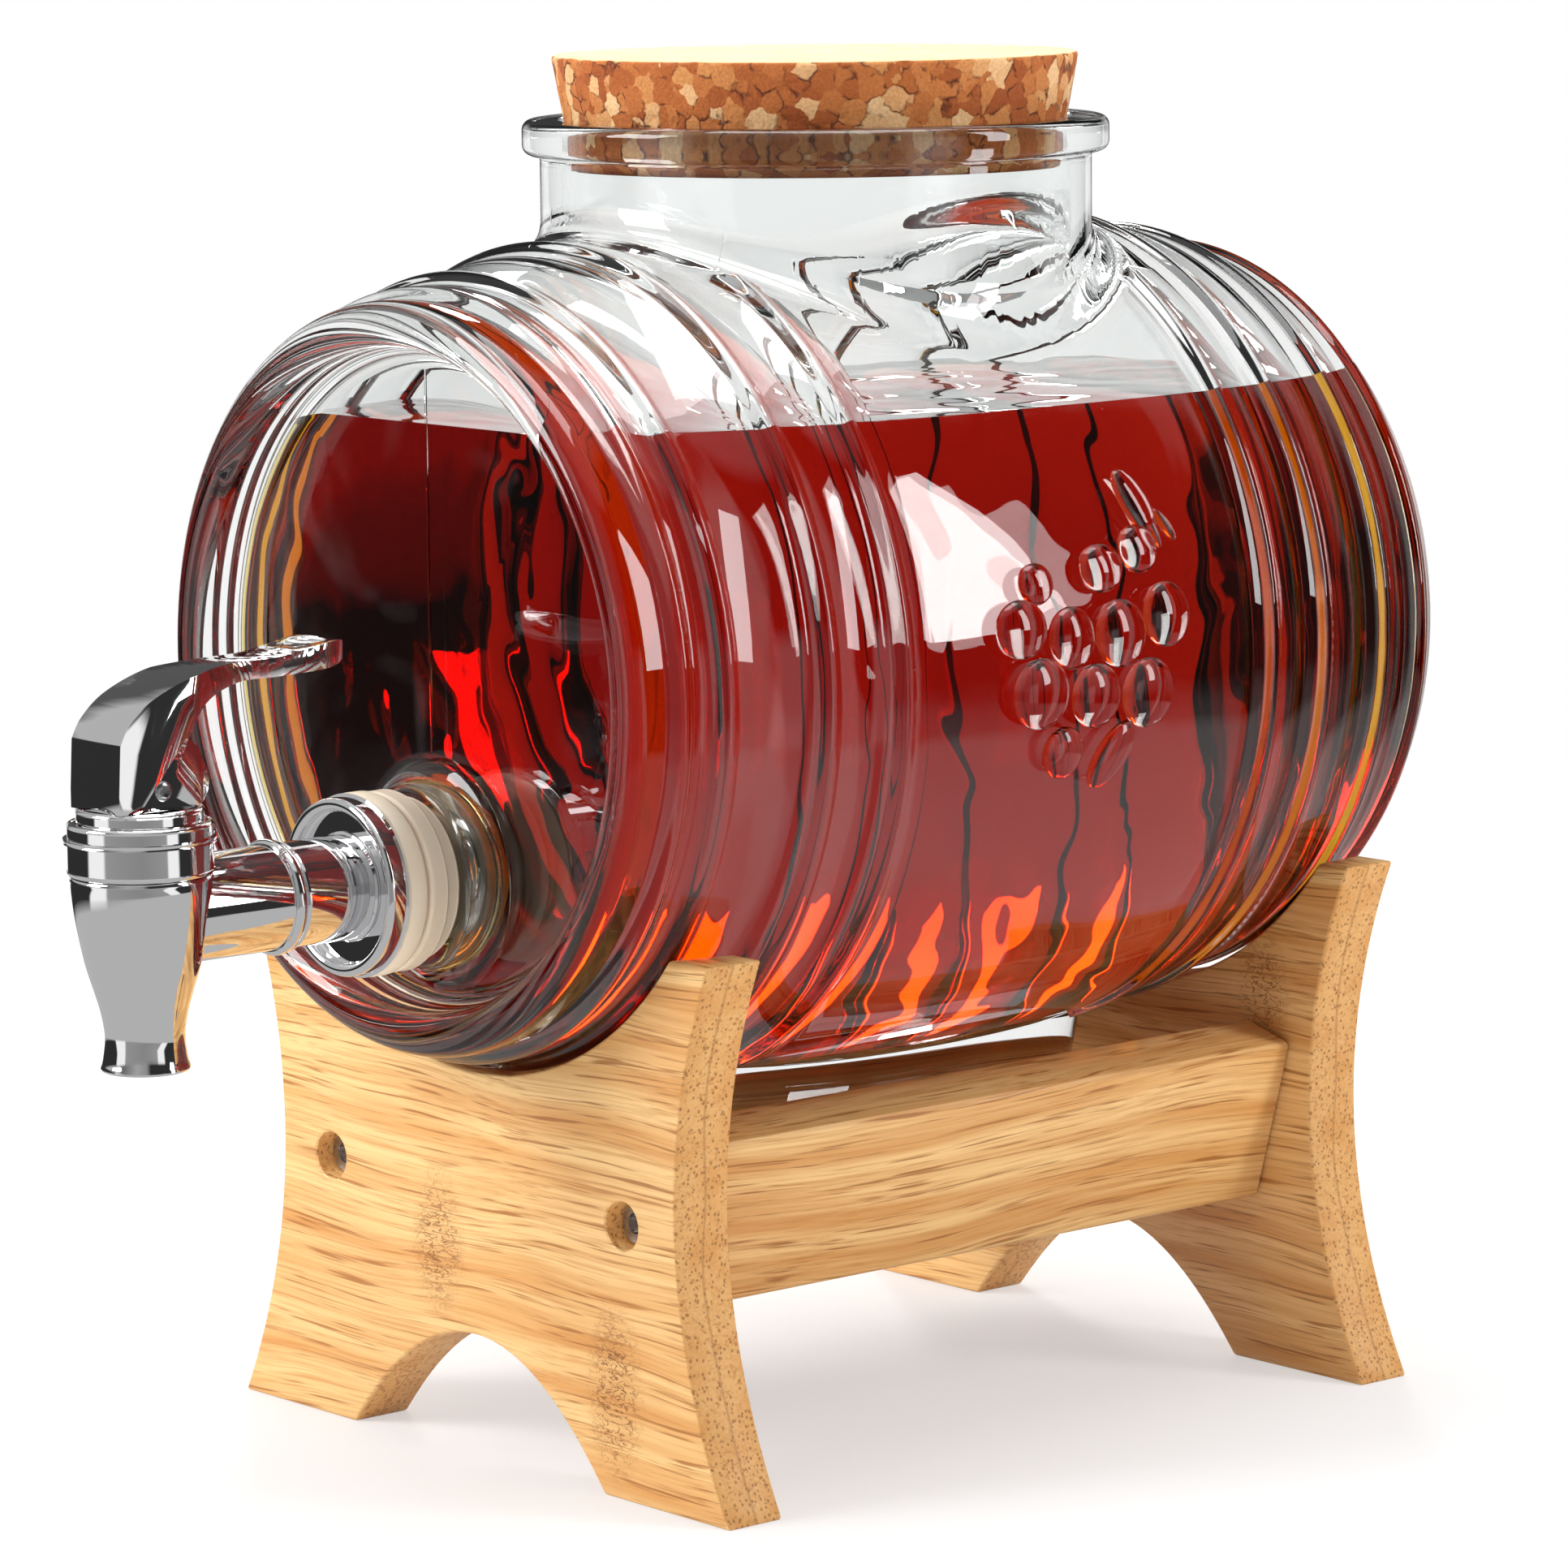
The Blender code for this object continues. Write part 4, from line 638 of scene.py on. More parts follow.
def rear_corner(inset, lean, steps):
    """The round rear corner from the flat end face down to a lean in degrees."""
    size = REAR_TURN - inset
    return arc(REAR_CENTRE, (size, size), 90, lean, steps)


front_half = [(r, -d) for r, d in end_points + ridges(FRONT_HOOP_INSET)]
rear_lean = math.degrees(math.asin((108.5 - REAR_CENTRE[1]) / REAR_TURN))
rear_points = [(0, BARREL_HALF), (30, BARREL_HALF), (55, BARREL_HALF)] + rear_corner(0, rear_lean, 14)[:-1]
rear_half = (rear_points + ridges(REAR_HOOP_INSET))[::-1]
middle_run = []
for k in range(1, 24):
    place = front_half[-1][1] + (rear_half[0][1] - front_half[-1][1]) * k / 24
    middle_run.append((belly(place), place))


def hollow_profile(inset):
    """The smooth inside, or a surface inset from it, (radius, distance from the middle)."""
    end = FACE_OFFSET - GLASS_WALL - inset
    place = end - 11
    radius = belly(place) - GLASS_WALL - inset
    front = [(0, -end)] + [(r, -d) for r, d in arc((radius - 11, place), (11, 11), 90, 0, 10)]
    rear = rear_corner(GLASS_WALL + inset, math.degrees(LEAN_AT_REAR), 10)[::-1]
    side = []
    for k in range(1, 40):
        along = front[-1][1] + (rear[0][1] - front[-1][1]) * k / 40
        side.append((belly(along) - GLASS_WALL - inset, along))
    return front + side + rear + [(0, BARREL_HALF - GLASS_WALL - inset)]


NECK_SPREAD = 8
BORE_SPREAD = 6.5
NECK_STRAIGHT = 98


def opened(profile, radius):
    """A lying turned surface with a round window of this radius cut in its top, and the window's
    edge as vertices in order round the neck."""
    shell = made_object("shell", turned(profile, GLASS_STEPS, True))
    punch = [(0, 40), (radius, 40), (radius, 130), (0, 130)]
    combined(shell, "DIFFERENCE", made_object("punch", turned(punch, GLASS_STEPS)))
    bm = bmesh.new()
    bm.from_mesh(shell.data)
    bmesh.ops.scale(bm, vec=(1000, 1000, 1000), verts=bm.verts)
    bpy.data.objects.remove(shell)
    walls = [f for f in bm.faces if f.calc_center_median().z > 30
             and all(math.hypot(v.co.x, v.co.y) < radius + 0.01 for v in f.verts)]
    bmesh.ops.delete(bm, geom=walls, context="FACES")
    bmesh.ops.delete(bm, geom=[v for v in bm.verts if not v.link_faces], context="VERTS")
    edge = [v for v in bm.verts if v.is_boundary]
    edge.sort(key=lambda v: math.atan2(v.co.y, v.co.x))
    return bm, edge


def spread(bm, edge, neck_radius, reach, drop, rise):
    """Skins a round fillet from the window's edge on the barrel up to the neck's straight wall."""
    loops = [edge]
    surface = [math.sqrt((belly(v.co.y) - drop) ** 2 - v.co.x ** 2) for v in edge]
    rings = []
    for k in range(1, 13):
        t = k / 12
        ring = []
        for vert, height in zip(edge, surface):
            angle = math.atan2(vert.co.y, vert.co.x)
            near = Vector((math.cos(angle), math.sin(angle))) * (neck_radius + reach - 1)
            inward = math.sqrt((belly(near.y) - drop) ** 2 - near.x ** 2) - height
            bend = height + inward * reach
            radius = (1 - t) ** 2 * (neck_radius + reach) + (1 - (1 - t) ** 2) * neck_radius
            z = (1 - t) ** 2 * height + 2 * t * (1 - t) * bend + t ** 2 * (bend + rise)
            ring.append((radius * math.cos(angle), radius * math.sin(angle), z))
        rings.append(ring)
    last = rings[-1]
    for k in range(1, 4):
        rings.append([(x, y, z + (NECK_STRAIGHT - z) * k / 3) for x, y, z in last])
    for ring in rings:
        loops.append([bm.verts.new(point) for point in ring])
    for lower, upper in zip(loops, loops[1:]):
        for i in range(len(lower)):
            j = (i + 1) % len(lower)
            bm.faces.new((lower[i], lower[j], upper[j], upper[i]))
    return loops[-1]


bm, edge = opened(front_half + middle_run + rear_half, NECK_RADIUS + NECK_SPREAD)
neck_loop = spread(bm, edge, NECK_RADIUS, NECK_SPREAD, 0, 8)
inner, inner_edge = opened(hollow_profile(0), NECK_BORE + BORE_SPREAD)
spread(inner, inner_edge, NECK_BORE, BORE_SPREAD, GLASS_WALL, 6)
inner_mesh = bpy.data.meshes.new("inner")
inner.to_mesh(inner_mesh)
inner.free()
bm.from_mesh(inner_mesh)
lip_profile = [(NECK_RADIUS, 101)] + arc((NECK_RADIUS + 1.4, 103.3), (1.4, 1.4), 180, 110, 4)
lip_profile += arc((61, 106.6), (2.2, 2.2), -90, 0, 6) + arc((61, 109.8), (2.2, 2.2), 0, 90, 8)
lip_profile += arc((NECK_BORE + 1.2, 110.8), (1.2, 1.2), 90, 180, 5) + [(NECK_BORE, 105), (NECK_BORE, 100)]
angles = [math.atan2(v.co.y, v.co.x) for v in neck_loop]
previous = neck_loop
for radius, height in lip_profile:
    ring = [bm.verts.new((radius * math.cos(a), radius * math.sin(a), height)) for a in angles]
    for i in range(len(ring)):
        j = (i + 1) % len(ring)
        bm.faces.new((previous[i], previous[j], ring[j], ring[i]))
    previous = ring
open_edges = [e for e in bm.edges if e.is_boundary]
bmesh.ops.bridge_loops(bm, edges=open_edges)
glass = made_object("barrel_glass", bm)

boss_profile = [(0, 2), (25.5, 2), (25.5, -0.05)] + arc((25.5, -6.2), (6.2, 6.1), 90, 172, 7)
boss_profile += arc((17.6, -4.8), (1.4, 1.4), 10, -90, 6)[1:] + [(0, -6.2)]
boss = [(r, h - FACE_OFFSET) for r, h in boss_profile]

foot_rings = []
for k in range(4):
    angle = math.pi / 2 * k / 3
    pull = 1.6 * (1 - math.sin(angle))
    foot_rings.append(superellipse(33 - pull, 62 - pull, FOOT_BOTTOM + 1.6 * (1 - math.cos(angle))))
for k in range(2, 25):
    share = k / 24
    flare = 17 * share ** 1.75
    foot_rings.append(superellipse(33 + flare, 62 + flare, FOOT_BOTTOM + 61.1 * share))
foot = combined(made_object("foot", loft(foot_rings)), "DIFFERENCE",
                made_object("foot limit", turned(hollow_profile(-GLASS_WALL / 2), GLASS_STEPS, True)))
seam = bmesh.new()
bmesh.ops.create_cube(seam, size=1)
bmesh.ops.scale(seam, vec=(0.5, 1.2, 84), verts=seam.verts)
bmesh.ops.translate(seam, vec=(0, 0.35 - FACE_OFFSET, 22), verts=seam.verts)


def relief_tree(material):
    """Puts a unit ball, turned and stretched, on every point that it is given."""
    tree = bpy.data.node_groups.new("pressed_relief", "GeometryNodeTree")
    tree.interface.new_socket(name="Geometry", in_out="INPUT", socket_type="NodeSocketGeometry")
    rings = tree.interface.new_socket(name="Rings", in_out="INPUT", socket_type="NodeSocketInt")
    tree.interface.new_socket(name="Geometry", in_out="OUTPUT", socket_type="NodeSocketGeometry")
    given = add(tree, "NodeGroupInput").outputs
    ball = add(tree, "GeometryNodeMeshUVSphere", {"Segments": 40, "Rings": given["Rings"], "Radius": 1.0})
    turn = add(tree, "GeometryNodeInputNamedAttribute", {"Name": "turn"}, data_type="FLOAT_VECTOR")
    size = add(tree, "GeometryNodeInputNamedAttribute", {"Name": "size"}, data_type="FLOAT_VECTOR")
    balls = add(tree, "GeometryNodeInstanceOnPoints", {
        "Points": given["Geometry"], "Instance": ball.outputs[0], "Rotation": turn.outputs[0],
        "Scale": size.outputs[0]})
    real = add(tree, "GeometryNodeRealizeInstances", {"Geometry": balls.outputs[0]})
    coloured = add(tree, "GeometryNodeSetMaterial", {"Geometry": real.outputs[0], "Material": material})
    add(tree, "NodeGroupOutput", {"Geometry": coloured.outputs[0]})
    return tree, rings.identifier


# degrees above the side, mm along from the middle, half width, half height, stand-out, tilt
RELIEF = ((12.3, -19.3, 4.6, 4.4, 2.4, 0), (6.7, -24.3, 6.7, 6.2, 2.8, 0), (4.9, -10.9, 6.2, 6.6, 3.0, 0),
          (4.8, 2.8, 7.0, 7.2, 3.2, 0), (13.4, -0.8, 5.9, 5.2, 2.8, 0), (6.6, 16.2, 6.6, 6.9, 2.8, 0),
          (-1.8, -19.6, 7.6, 7.4, 3.2, 0), (-2.9, -4.4, 6.8, 6.8, 3.2, 0), (-3.3, 10.4, 7.2, 7.4, 3.0, 0),
          (-9.9, -12.6, 5.4, 5.6, 2.8, 0), (-11.0, 1.4, 4.4, 8.2, 2.2, -38), (15.4, 10.4, 5.4, 5.2, 2.6, 0),
          (21.6, 12.4, 3.9, 7.8, 1.9, 24), (18.2, 19.6, 1.3, 4.2, 1.4, 32), (17.9, 15.6, 1.2, 4.6, 1.4, 20))
spots = bmesh.new()
turn_layer = spots.verts.layers.float_vector.new("turn")
size_layer = spots.verts.layers.float_vector.new("size")
for degrees, along, wide, tall, proud, tilt in RELIEF:
    angle = math.radians(degrees)
    radius = belly(along) - 0.2
    spot = spots.verts.new((radius * math.cos(angle) / 1000, along / 1000, radius * math.sin(angle) / 1000))
    outward = Vector((math.cos(angle), 0, math.sin(angle)))
    upward = Vector((-math.sin(angle), 0, math.cos(angle)))
    axes = Matrix((Vector((0, 1, 0)), upward, outward)).transposed()
    spot[turn_layer] = Vector((axes @ Matrix.Rotation(math.radians(tilt), 3, "Z")).to_euler())
    spot[size_layer] = Vector((wide, tall, proud)) / 1000
grapes = bpy.data.objects.new("grapes", bpy.data.meshes.new("grapes"))
spots.to_mesh(grapes.data)
spots.free()
bpy.context.collection.objects.link(grapes)
relief, ring_input = relief_tree(None)
pressing = grapes.modifiers.new("pressing", "NODES")
pressing.node_group = relief
pressing[ring_input] = 20
settled(grapes)
combined(grapes, "UNION", made_object("seam", seam))
combined(glass, "UNION", made_object("boss", turned(boss, 72, True, (0, 0, -TAP_DROP))), foot, grapes)
hole = [(0, -FACE_OFFSET - 12), (8.3, -FACE_OFFSET - 12), (8.3, -FACE_OFFSET + 9), (0, -FACE_OFFSET + 9)]
dish = [superellipse(25, 54, FOOT_BOTTOM - 5), superellipse(25, 54, FOOT_BOTTOM),
        superellipse(22.5, 51.5, FOOT_BOTTOM + 2.5)]
combined(glass, "DIFFERENCE", made_object("tap hole", turned(hole, 72, True, (0, 0, -TAP_DROP))),
         made_object("dish", loft(dish)))


def glass_shader(tree):
    """Fire-polished glass: clear, smooth, with the slow waviness of a pressed wall."""
    wave = noise_of(tree, object_place(tree), 38.0, 1.0).outputs[0]
    return add(tree, "ShaderNodeBsdfPrincipled", {
        "Base Color": hex_colour("FBFDFC"), "Roughness": 0.0, "IOR": 1.5, "Transmission Weight": 1.0,
        "Normal": bumped(tree, 0.25, 0.0005, wave)})


pressed_glass = finish("pressed_soda_lime_glass", glass_shader)
glass.data.materials.clear()
glass.data.materials.append(pressed_glass)
placed = Matrix.Translation((0, BARREL_MIDDLE / 1000, AXIS_HEIGHT / 1000))
glass.data.transform(placed)
settled(glass, 34)
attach(glass, "barrel")
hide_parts("barrel_glass")

# The drink: a clear deep red spirit that fills the barrel to well above its middle. It laps into the
# glass by a hair, so that no film of air shows between them, and it goes with the barrel.

LIQUID_LEVEL = 52.5
LIQUID_LAP = 0.15
AIR_HIGH = 120
drink = made_object("drink", turned(hollow_profile(-LIQUID_LAP), GLASS_STEPS, True))
cut = bmesh.new()
bmesh.ops.create_cube(cut, size=1)
bmesh.ops.scale(cut, vec=(260, 300, AIR_HIGH), verts=cut.verts)
bmesh.ops.translate(cut, vec=(0, 0, LIQUID_LEVEL + AIR_HIGH / 2), verts=cut.verts)
combined(drink, "DIFFERENCE", made_object("air", cut))


def drink_shader(tree):
    """Clear spirit; its surface follows the ripples of the pressed wall."""
    ripple = noise_of(tree, object_place(tree), 30.0, 1.0, Distortion=0.6).outputs[0]
    return add(tree, "ShaderNodeBsdfPrincipled", {
        "Base Color": (1, 1, 1, 1), "Roughness": 0.0, "IOR": 1.36, "Transmission Weight": 1.0,
        "Normal": bumped(tree, 0.5, 0.003, ripple)})


def drink_depth(tree):
    return add(tree, "ShaderNodeVolumeAbsorption", {"Color": (0.95, 0.76, 0.0, 1), "Density": 125.0})


red_spirit = finish("deep_red_spirit", drink_shader, drink_depth)
drink.data.materials.clear()
drink.data.materials.append(red_spirit)
drink.data.transform(placed)
settled(drink, 34)
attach(drink, "barrel")

# Cork: agglomerated granules pressed into a block and turned to a taper, its side left rough with
# torn pits and chip edges, its top sanded to a pale smooth face.

CORK_STEPS = 300
CORK_SUNK = 10.4
CORK_PROUD = 13.6
CORK_TOP_RADIUS = 56.8
mouth = NECK_BORE - 0.3
taper = (CORK_TOP_RADIUS - mouth) / CORK_PROUD
cork_low = mouth - taper * CORK_SUNK
cork_profile = [(0, -CORK_SUNK), (20, -CORK_SUNK), (40, -CORK_SUNK), (cork_low - 1.2, -CORK_SUNK),
                (cork_low - 0.3, -10.1)]
for k in range(25):
    up = -9.6 + 22.4 * k / 24
    cork_profile.append((mouth + taper * up, up))
cork_profile += [(56.5, 13.3), (55.9, CORK_PROUD)] + [(r, CORK_PROUD) for r in (50, 38, 20, 0)]
bm = turned(cork_profile, CORK_STEPS, centre=(0, 0, NECK_TOP))
for vert in bm.verts:
    radius = math.hypot(vert.co.x, vert.co.y)
    up = vert.co.z - NECK_TOP
    if radius > 53.5 and up < 13.5:
        pit = noise.noise(vert.co * 0.55) + 0.6 * noise.noise(vert.co * 1.3)
        deep = max(0.0, pit - 0.35) * 1.6 + 0.12 * noise.noise(vert.co * 2.4) + 0.12
        share = 1 - min(deep, 1.1) / radius
        vert.co.x *= share
        vert.co.y *= share

CHIP_SCALE = 230.0
CHIP_WOBBLE = 0.0022
CHIP_STOPS = ((0.0, "A8541F"), (0.3, "C06C30"), (0.55, "D08040"), (0.78, "DE9A58"), (0.86, "F0BC82"),
              (1.0, "F7CE98"))


def cork_shader(tree):
    """Baked cork granules, orange brown with some pale and some dark, in a matt open surface, with painted
    shade in some gaps between granules.
    """
    place = object_place(tree)
    wobble = noise_of(tree, place, 420.0, 2.0).outputs["Color"]
    shifted = add(tree, "ShaderNodeVectorMath", {0: wobble, 1: (CHIP_WOBBLE,) * 3, 2: place},
                  operation="MULTIPLY_ADD").outputs[0]
    cells = {"Vector": shifted, "Scale": CHIP_SCALE}
    chips = add(tree, "ShaderNodeTexVoronoi", cells).outputs["Color"]
    seams = add(tree, "ShaderNodeTexVoronoi", cells, feature="DISTANCE_TO_EDGE").outputs["Distance"]
    pick = add(tree, "ShaderNodeSeparateColor", {0: chips}).outputs
    shade = add(tree, "ShaderNodeValToRGB", {0: pick[0]})
    bar = shade.color_ramp
    bar.elements[0].color = hex_colour(CHIP_STOPS[0][1])
    bar.elements[1].color = hex_colour(CHIP_STOPS[-1][1])
    for spot, code in CHIP_STOPS[1:-1]:
        bar.elements.new(spot).color = hex_colour(code)
    fine = noise_of(tree, place, 1400.0, 3.0).outputs[0]
    specked = mixed(tree, spanned(tree, fine, 0.35, 0.7), shade.outputs[0], hex_colour("B86A33"),
                    blend_type="MULTIPLY")
    mottled = mixed(tree, 0.3, shade.outputs[0], specked)
    some = spanned(tree, noise_of(tree, place, 260.0, 2.0).outputs[0], 0.48, 0.62)
    # Painted shade: near the cell edges, some gaps between granules are darkened to 5C2408 as if shade fell
    # in them; the bump below sinks the same gaps.
    dark = figured(tree, "MULTIPLY", spanned(tree, seams, 0.0, 0.09, 1.0, 0.0), some)
    side = mixed(tree, dark, mottled, hex_colour("5C2408"))
    facing = add(tree, "ShaderNodeSeparateXYZ", {0: add(tree, "ShaderNodeTexCoord").outputs["Normal"]})
    sanded = mixed(tree, pick[1], hex_colour("F6DAA8"), hex_colour("EFCB93"))
    colour = mixed(tree, spanned(tree, facing.outputs["Z"], 0.75, 0.98), side, sanded)
    relief = figured(tree, "SUBTRACT", fine, dark)
    return add(tree, "ShaderNodeBsdfPrincipled", {"Base Color": colour, "Roughness": 0.85,
                                                  "Normal": bumped(tree, 0.6, 0.0005, relief)})


cork = made_object("cork_stopper", bm, finish("agglomerated_cork", cork_shader))
cork.data.transform(placed)
settled(cork, 50)
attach(cork, "cork")
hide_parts("cork_stopper")

# Tap body and shank: one zinc casting, polished and chromed, with a swelling body over a slim
# spout. Its threaded shank runs through the glass, and the valve chamber is bored inside it.

TAP_Y = -141.65
TAP_Z = 126.0
TURN_STEPS = 96
SHANK_END = 93.6
mirror_chrome = metal("mirror_chrome_on_zinc", "EDEDEE", 0.035, 9.0, 0.02)


def tap_solid(name, corners, material=None, along_y=False, closed=False, steps=TURN_STEPS):
    """A turned piece of the tap from (radius, height, rounding) corners."""
    bm = turned(soft_corners(corners, 5), steps, along_y, (0, TAP_Y, TAP_Z), closed)
    return made_object(name, bm, material)


def through_points(points, steps):
    """A Catmull-Rom curve through points, steps to a span."""
    made = []
    for i in range(len(points) - 1):
        before = Vector(points[max(i - 1, 0)])
        start = Vector(points[i])
        end = Vector(points[i + 1])
        after = Vector(points[min(i + 2, len(points) - 1)])
        for k in range(steps):
            t = k / steps
            square = (before * 2 - start * 5 + end * 4 - after) * t ** 2
            cube = (start * 3 - before - end * 3 + after) * t ** 3
            made.append(tuple((start * 2 + (end - before) * t + square + cube) / 2))
    return made + [tuple(points[-1])]


SHOULDER = 8.3
SPOUT_DROP = 31.6
BODY_RADIUS = 14.2
NECK_ROOM = 11.9
swell = [(BODY_RADIUS, SHOULDER - 0.9)]
for down, narrowing in ((0.075, 0), (0.22, 0.11), (0.44, 0.39), (0.6, 0.7), (0.7, 0.88), (0.82, 1),
                        (0.93, 0.93)):
    swell.append((BODY_RADIUS - 6.1 * narrowing, SHOULDER - (SHOULDER + SPOUT_DROP) * down))
swell.append((9.0, 1.1 - SPOUT_DROP))
outside = [(0, 15, 0), (NECK_ROOM, 15, 0.5), (NECK_ROOM, SHOULDER, 0), (BODY_RADIUS, SHOULDER, 0.7),
           (BODY_RADIUS, 0, 0)]
body_points = soft_corners(outside, 5)[:-1] + through_points(swell, 6)
body_points += [(9.1, 0.6 - SPOUT_DROP), (8.8, 0.15 - SPOUT_DROP), (8.4, -SPOUT_DROP), (0, -SPOUT_DROP)]
tap_body = made_object("tap_body", turned(body_points, TURN_STEPS, centre=(0, TAP_Y, TAP_Z)), mirror_chrome)

shank = [(0, 0, 0), (10.9, 0, 0), (10.9, 30.2, 0.3)]
shank += [(r, h, 0) for r, h in arc((10.9, 31.7), (1.1, 1.5), -80, 80, 8)]
shank += [(10.9, 33.2, 0), (8, 33.2, 0), (8, 60, 0)]
pitch = 1.5
thread_start = 77
for k in range(int((SHANK_END - 1 - thread_start) / pitch)):
    start = thread_start + k * pitch
    shank += [(8, start, 0), (7.45, start + pitch / 2, 0)]
shank += [(8, SHANK_END - 1, 0), (7.2, SHANK_END, 0), (0, SHANK_END, 0)]
combined(tap_body, "UNION", tap_solid("shank", shank, along_y=True))
room = [(NECK_ROOM, SHOULDER, 0), (15.0, SHOULDER, 0), (15.0, 20, 0), (NECK_ROOM, 20, 0)]
chamber = [(0, -40, 0), (6.6, -40, 0), (5.8, -SPOUT_DROP + 0.8, 0), (5.8, -11.5, 0), (9, -11.5, 0),
           (9, 20, 0), (0, 20, 0)]
bore = [(0, 0, 0), (5.4, 0, 0), (5.4, 100, 0), (0, 100, 0)]
combined(tap_body, "DIFFERENCE", tap_solid("bonnet room", room, closed=True), tap_solid("chamber", chamber),
         tap_solid("shank bore", bore, along_y=True, steps=64))
settled(tap_body, 32)
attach(tap_body, "barrel")
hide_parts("tap_body")

# Sleeve and flange: a chromed tube over the thread and a shallow chromed cup whose rolled lip
# faces forward round a dark hollow.


def ring_piece(name, corners, material, along_y=True):
    """A closed ring of the tap that stays with the barrel, made under its node's name while the imported part
    of that name is hidden.
    """
    ring = tap_solid(name, corners, material, along_y=along_y, closed=True)
    settled(ring, 32)
    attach(ring, "barrel")
    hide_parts(name)


BORE = 8.3
sleeve = [(BORE, 33.5, 0), (10.9, 33.5, 0.4), (10.9, 50.7, 0.4), (BORE, 50.7, 0)]
ring_piece("shank_sleeve", sleeve, mirror_chrome)
lip = [(r, h, 0) for r, h in arc((17.3, 49.7), (1.3, 1.3), 180, 360, 14)]
cup = [(BORE, 51, 0), (15.6, 51, 0), (16.0, 50.6, 0)] + lip + [(18.6, 52.8, 0.4), (BORE, 52.8, 0)]
ring_piece("flange_cup", cup, mirror_chrome)

# Silicone gaskets: food-grade ivory silicone rings, moulded with soft edges, one stepped to seat
# on the boss, one behind the flange, one thin seal inside the glass.


def silicone_shader(tree):
    place = object_place(tree)
    dust = noise_of(tree, place, 900.0, 3.0).outputs[0]
    cloud = noise_of(tree, place, 90.0, 1.0).outputs[0]
    return add(tree, "ShaderNodeBsdfPrincipled", {
        "Base Color": mixed(tree, cloud, hex_colour("F3E4CE"), hex_colour("EBD9BF")),
        "Roughness": spanned(tree, dust, 0.0, 1.0, 0.36, 0.52), "Subsurface Weight": 0.25,
        "Subsurface Radius": (0.004, 0.003, 0.002), "Subsurface Scale": 0.6,
        "Normal": bumped(tree, 0.15, 0.0002, dust)})


ivory_silicone = finish("moulded_ivory_silicone", silicone_shader)
ring_piece("gasket_outer", [(BORE, 53.1, 0), (19.2, 53.1, 1.1), (19.2, 58.3, 1.1), (BORE, 58.3, 0)],
           ivory_silicone)
ring_piece("gasket_inner", [(BORE, 58.6, 0), (18.9, 58.6, 1.0), (18.9, 63.3, 0.9), (17, 63.7, 0.3),
                            (17, 67.5, 0.8), (BORE, 67.5, 0)], ivory_silicone)
ring_piece("rear_gasket", [(BORE, 78.5, 0), (13, 78.5, 0.7), (13, 81.5, 0.7), (BORE, 81.5, 0)],
           ivory_silicone)
ring_piece("stem_seal", [(2.7, 15.3, 0.2), (11.9, 15.3, 0.3), (11.9, 16.9, 0.3), (2.7, 16.9, 0.2)],
           ivory_silicone, along_y=False)

# Rear washer and lock nut: a stainless washer and a moulded white acetal nut on the shank's end,
# inside the barrel where the drink covers them.

ring_piece("rear_washer", [(BORE, 81.8, 0.2), (14, 81.8, 0.3), (14, 83.3, 0.3), (BORE, 83.3, 0.2)],
           steel)


def acetal_shader(tree):
    mould = noise_of(tree, object_place(tree), 500.0, 2.0).outputs[0]
    return add(tree, "ShaderNodeBsdfPrincipled", {
        "Base Color": mixed(tree, mould, hex_colour("EFEEEA"), hex_colour("E2E0DA")), "Roughness": 0.38,
        "Normal": bumped(tree, 0.1, 0.0002, mould)})


white_acetal = finish("moulded_white_acetal", acetal_shader)
NUT_ACROSS = 23
nut_corner = NUT_ACROSS / math.sqrt(3)
sixths = [math.tau * k / 6 for k in range(6)]
nut_rings = [[(nut_corner * math.cos(a), TAP_Y + y, TAP_Z + nut_corner * math.sin(a)) for a in sixths]
             for y in (83.6, 90.6)]
nut = made_object("lock_nut", loft(nut_rings), white_acetal)
cone = [(0, 83.5, 0), (11.7, 83.5, 0), (13.6, 84.6, 0), (13.6, 89.6, 0), (11.7, 90.7, 0), (0, 90.7, 0)]
combined(nut, "INTERSECT", tap_solid("nut cone", cone, along_y=True))
rounded(nut, 0.4, 2, 40)
nut_bore = [(0, 80, 0), (BORE, 80, 0), (BORE, 95, 0), (0, 95, 0)]
combined(nut, "DIFFERENCE", tap_solid("nut bore", nut_bore, along_y=True))
settled(nut, 32)
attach(nut, "barrel")
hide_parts("lock_nut")

# Bonnet: a chromed collar screwed over the body's neck, with one turned groove and a lower cap.

bonnet = [(12.2, 8.6, 0), (14.7, 8.6, 0.8), (14.7, 15.0, 0.15), (14.2, 15.5, 0.1), (14.7, 16.0, 0.15),
          (14.7, 19.1, 0.8), (12.8, 19.1, 0.15), (12.8, 21.8, 0.7), (2.7, 21.8, 0.3), (2.7, 17.2, 0),
          (12.2, 17.2, 0)]
ring_piece("tap_bonnet", bonnet, mirror_chrome, along_y=False)

# Stem, seat cup and spring: a white acetal rod with an eye for the lever's pin, a silicone cup that
# closes the spout's bore, and a stainless compression spring that holds it shut.

CUP_LOW = -11.2
PIN_UP = 26
stem = tap_solid("stem", [(0, CUP_LOW + 2.3, 0), (2.4, CUP_LOW + 2.3, 0.3), (2.4, -6.3, 0), (6.8, -6.3, 0.3),
                          (6.8, -4.7, 0.3), (2.4, -4.7, 0.3), (2.4, PIN_UP, 0), (0, PIN_UP, 0)],
                 white_acetal, steps=48)


def bar_along_x(name, radius, half, edge=0.0):
    """A round bar on the pin's axis."""
    profile = soft_corners([(0, -half, 0), (radius, -half, edge), (radius, half, edge), (0, half, 0)], 3)
    bm = turned(profile, 48)
    bmesh.ops.rotate(bm, cent=(0, 0, 0), matrix=Matrix.Rotation(math.pi / 2, 3, "Y"), verts=bm.verts)
    bmesh.ops.translate(bm, vec=(0, TAP_Y, TAP_Z + PIN_UP), verts=bm.verts)
    return made_object(name, bm)


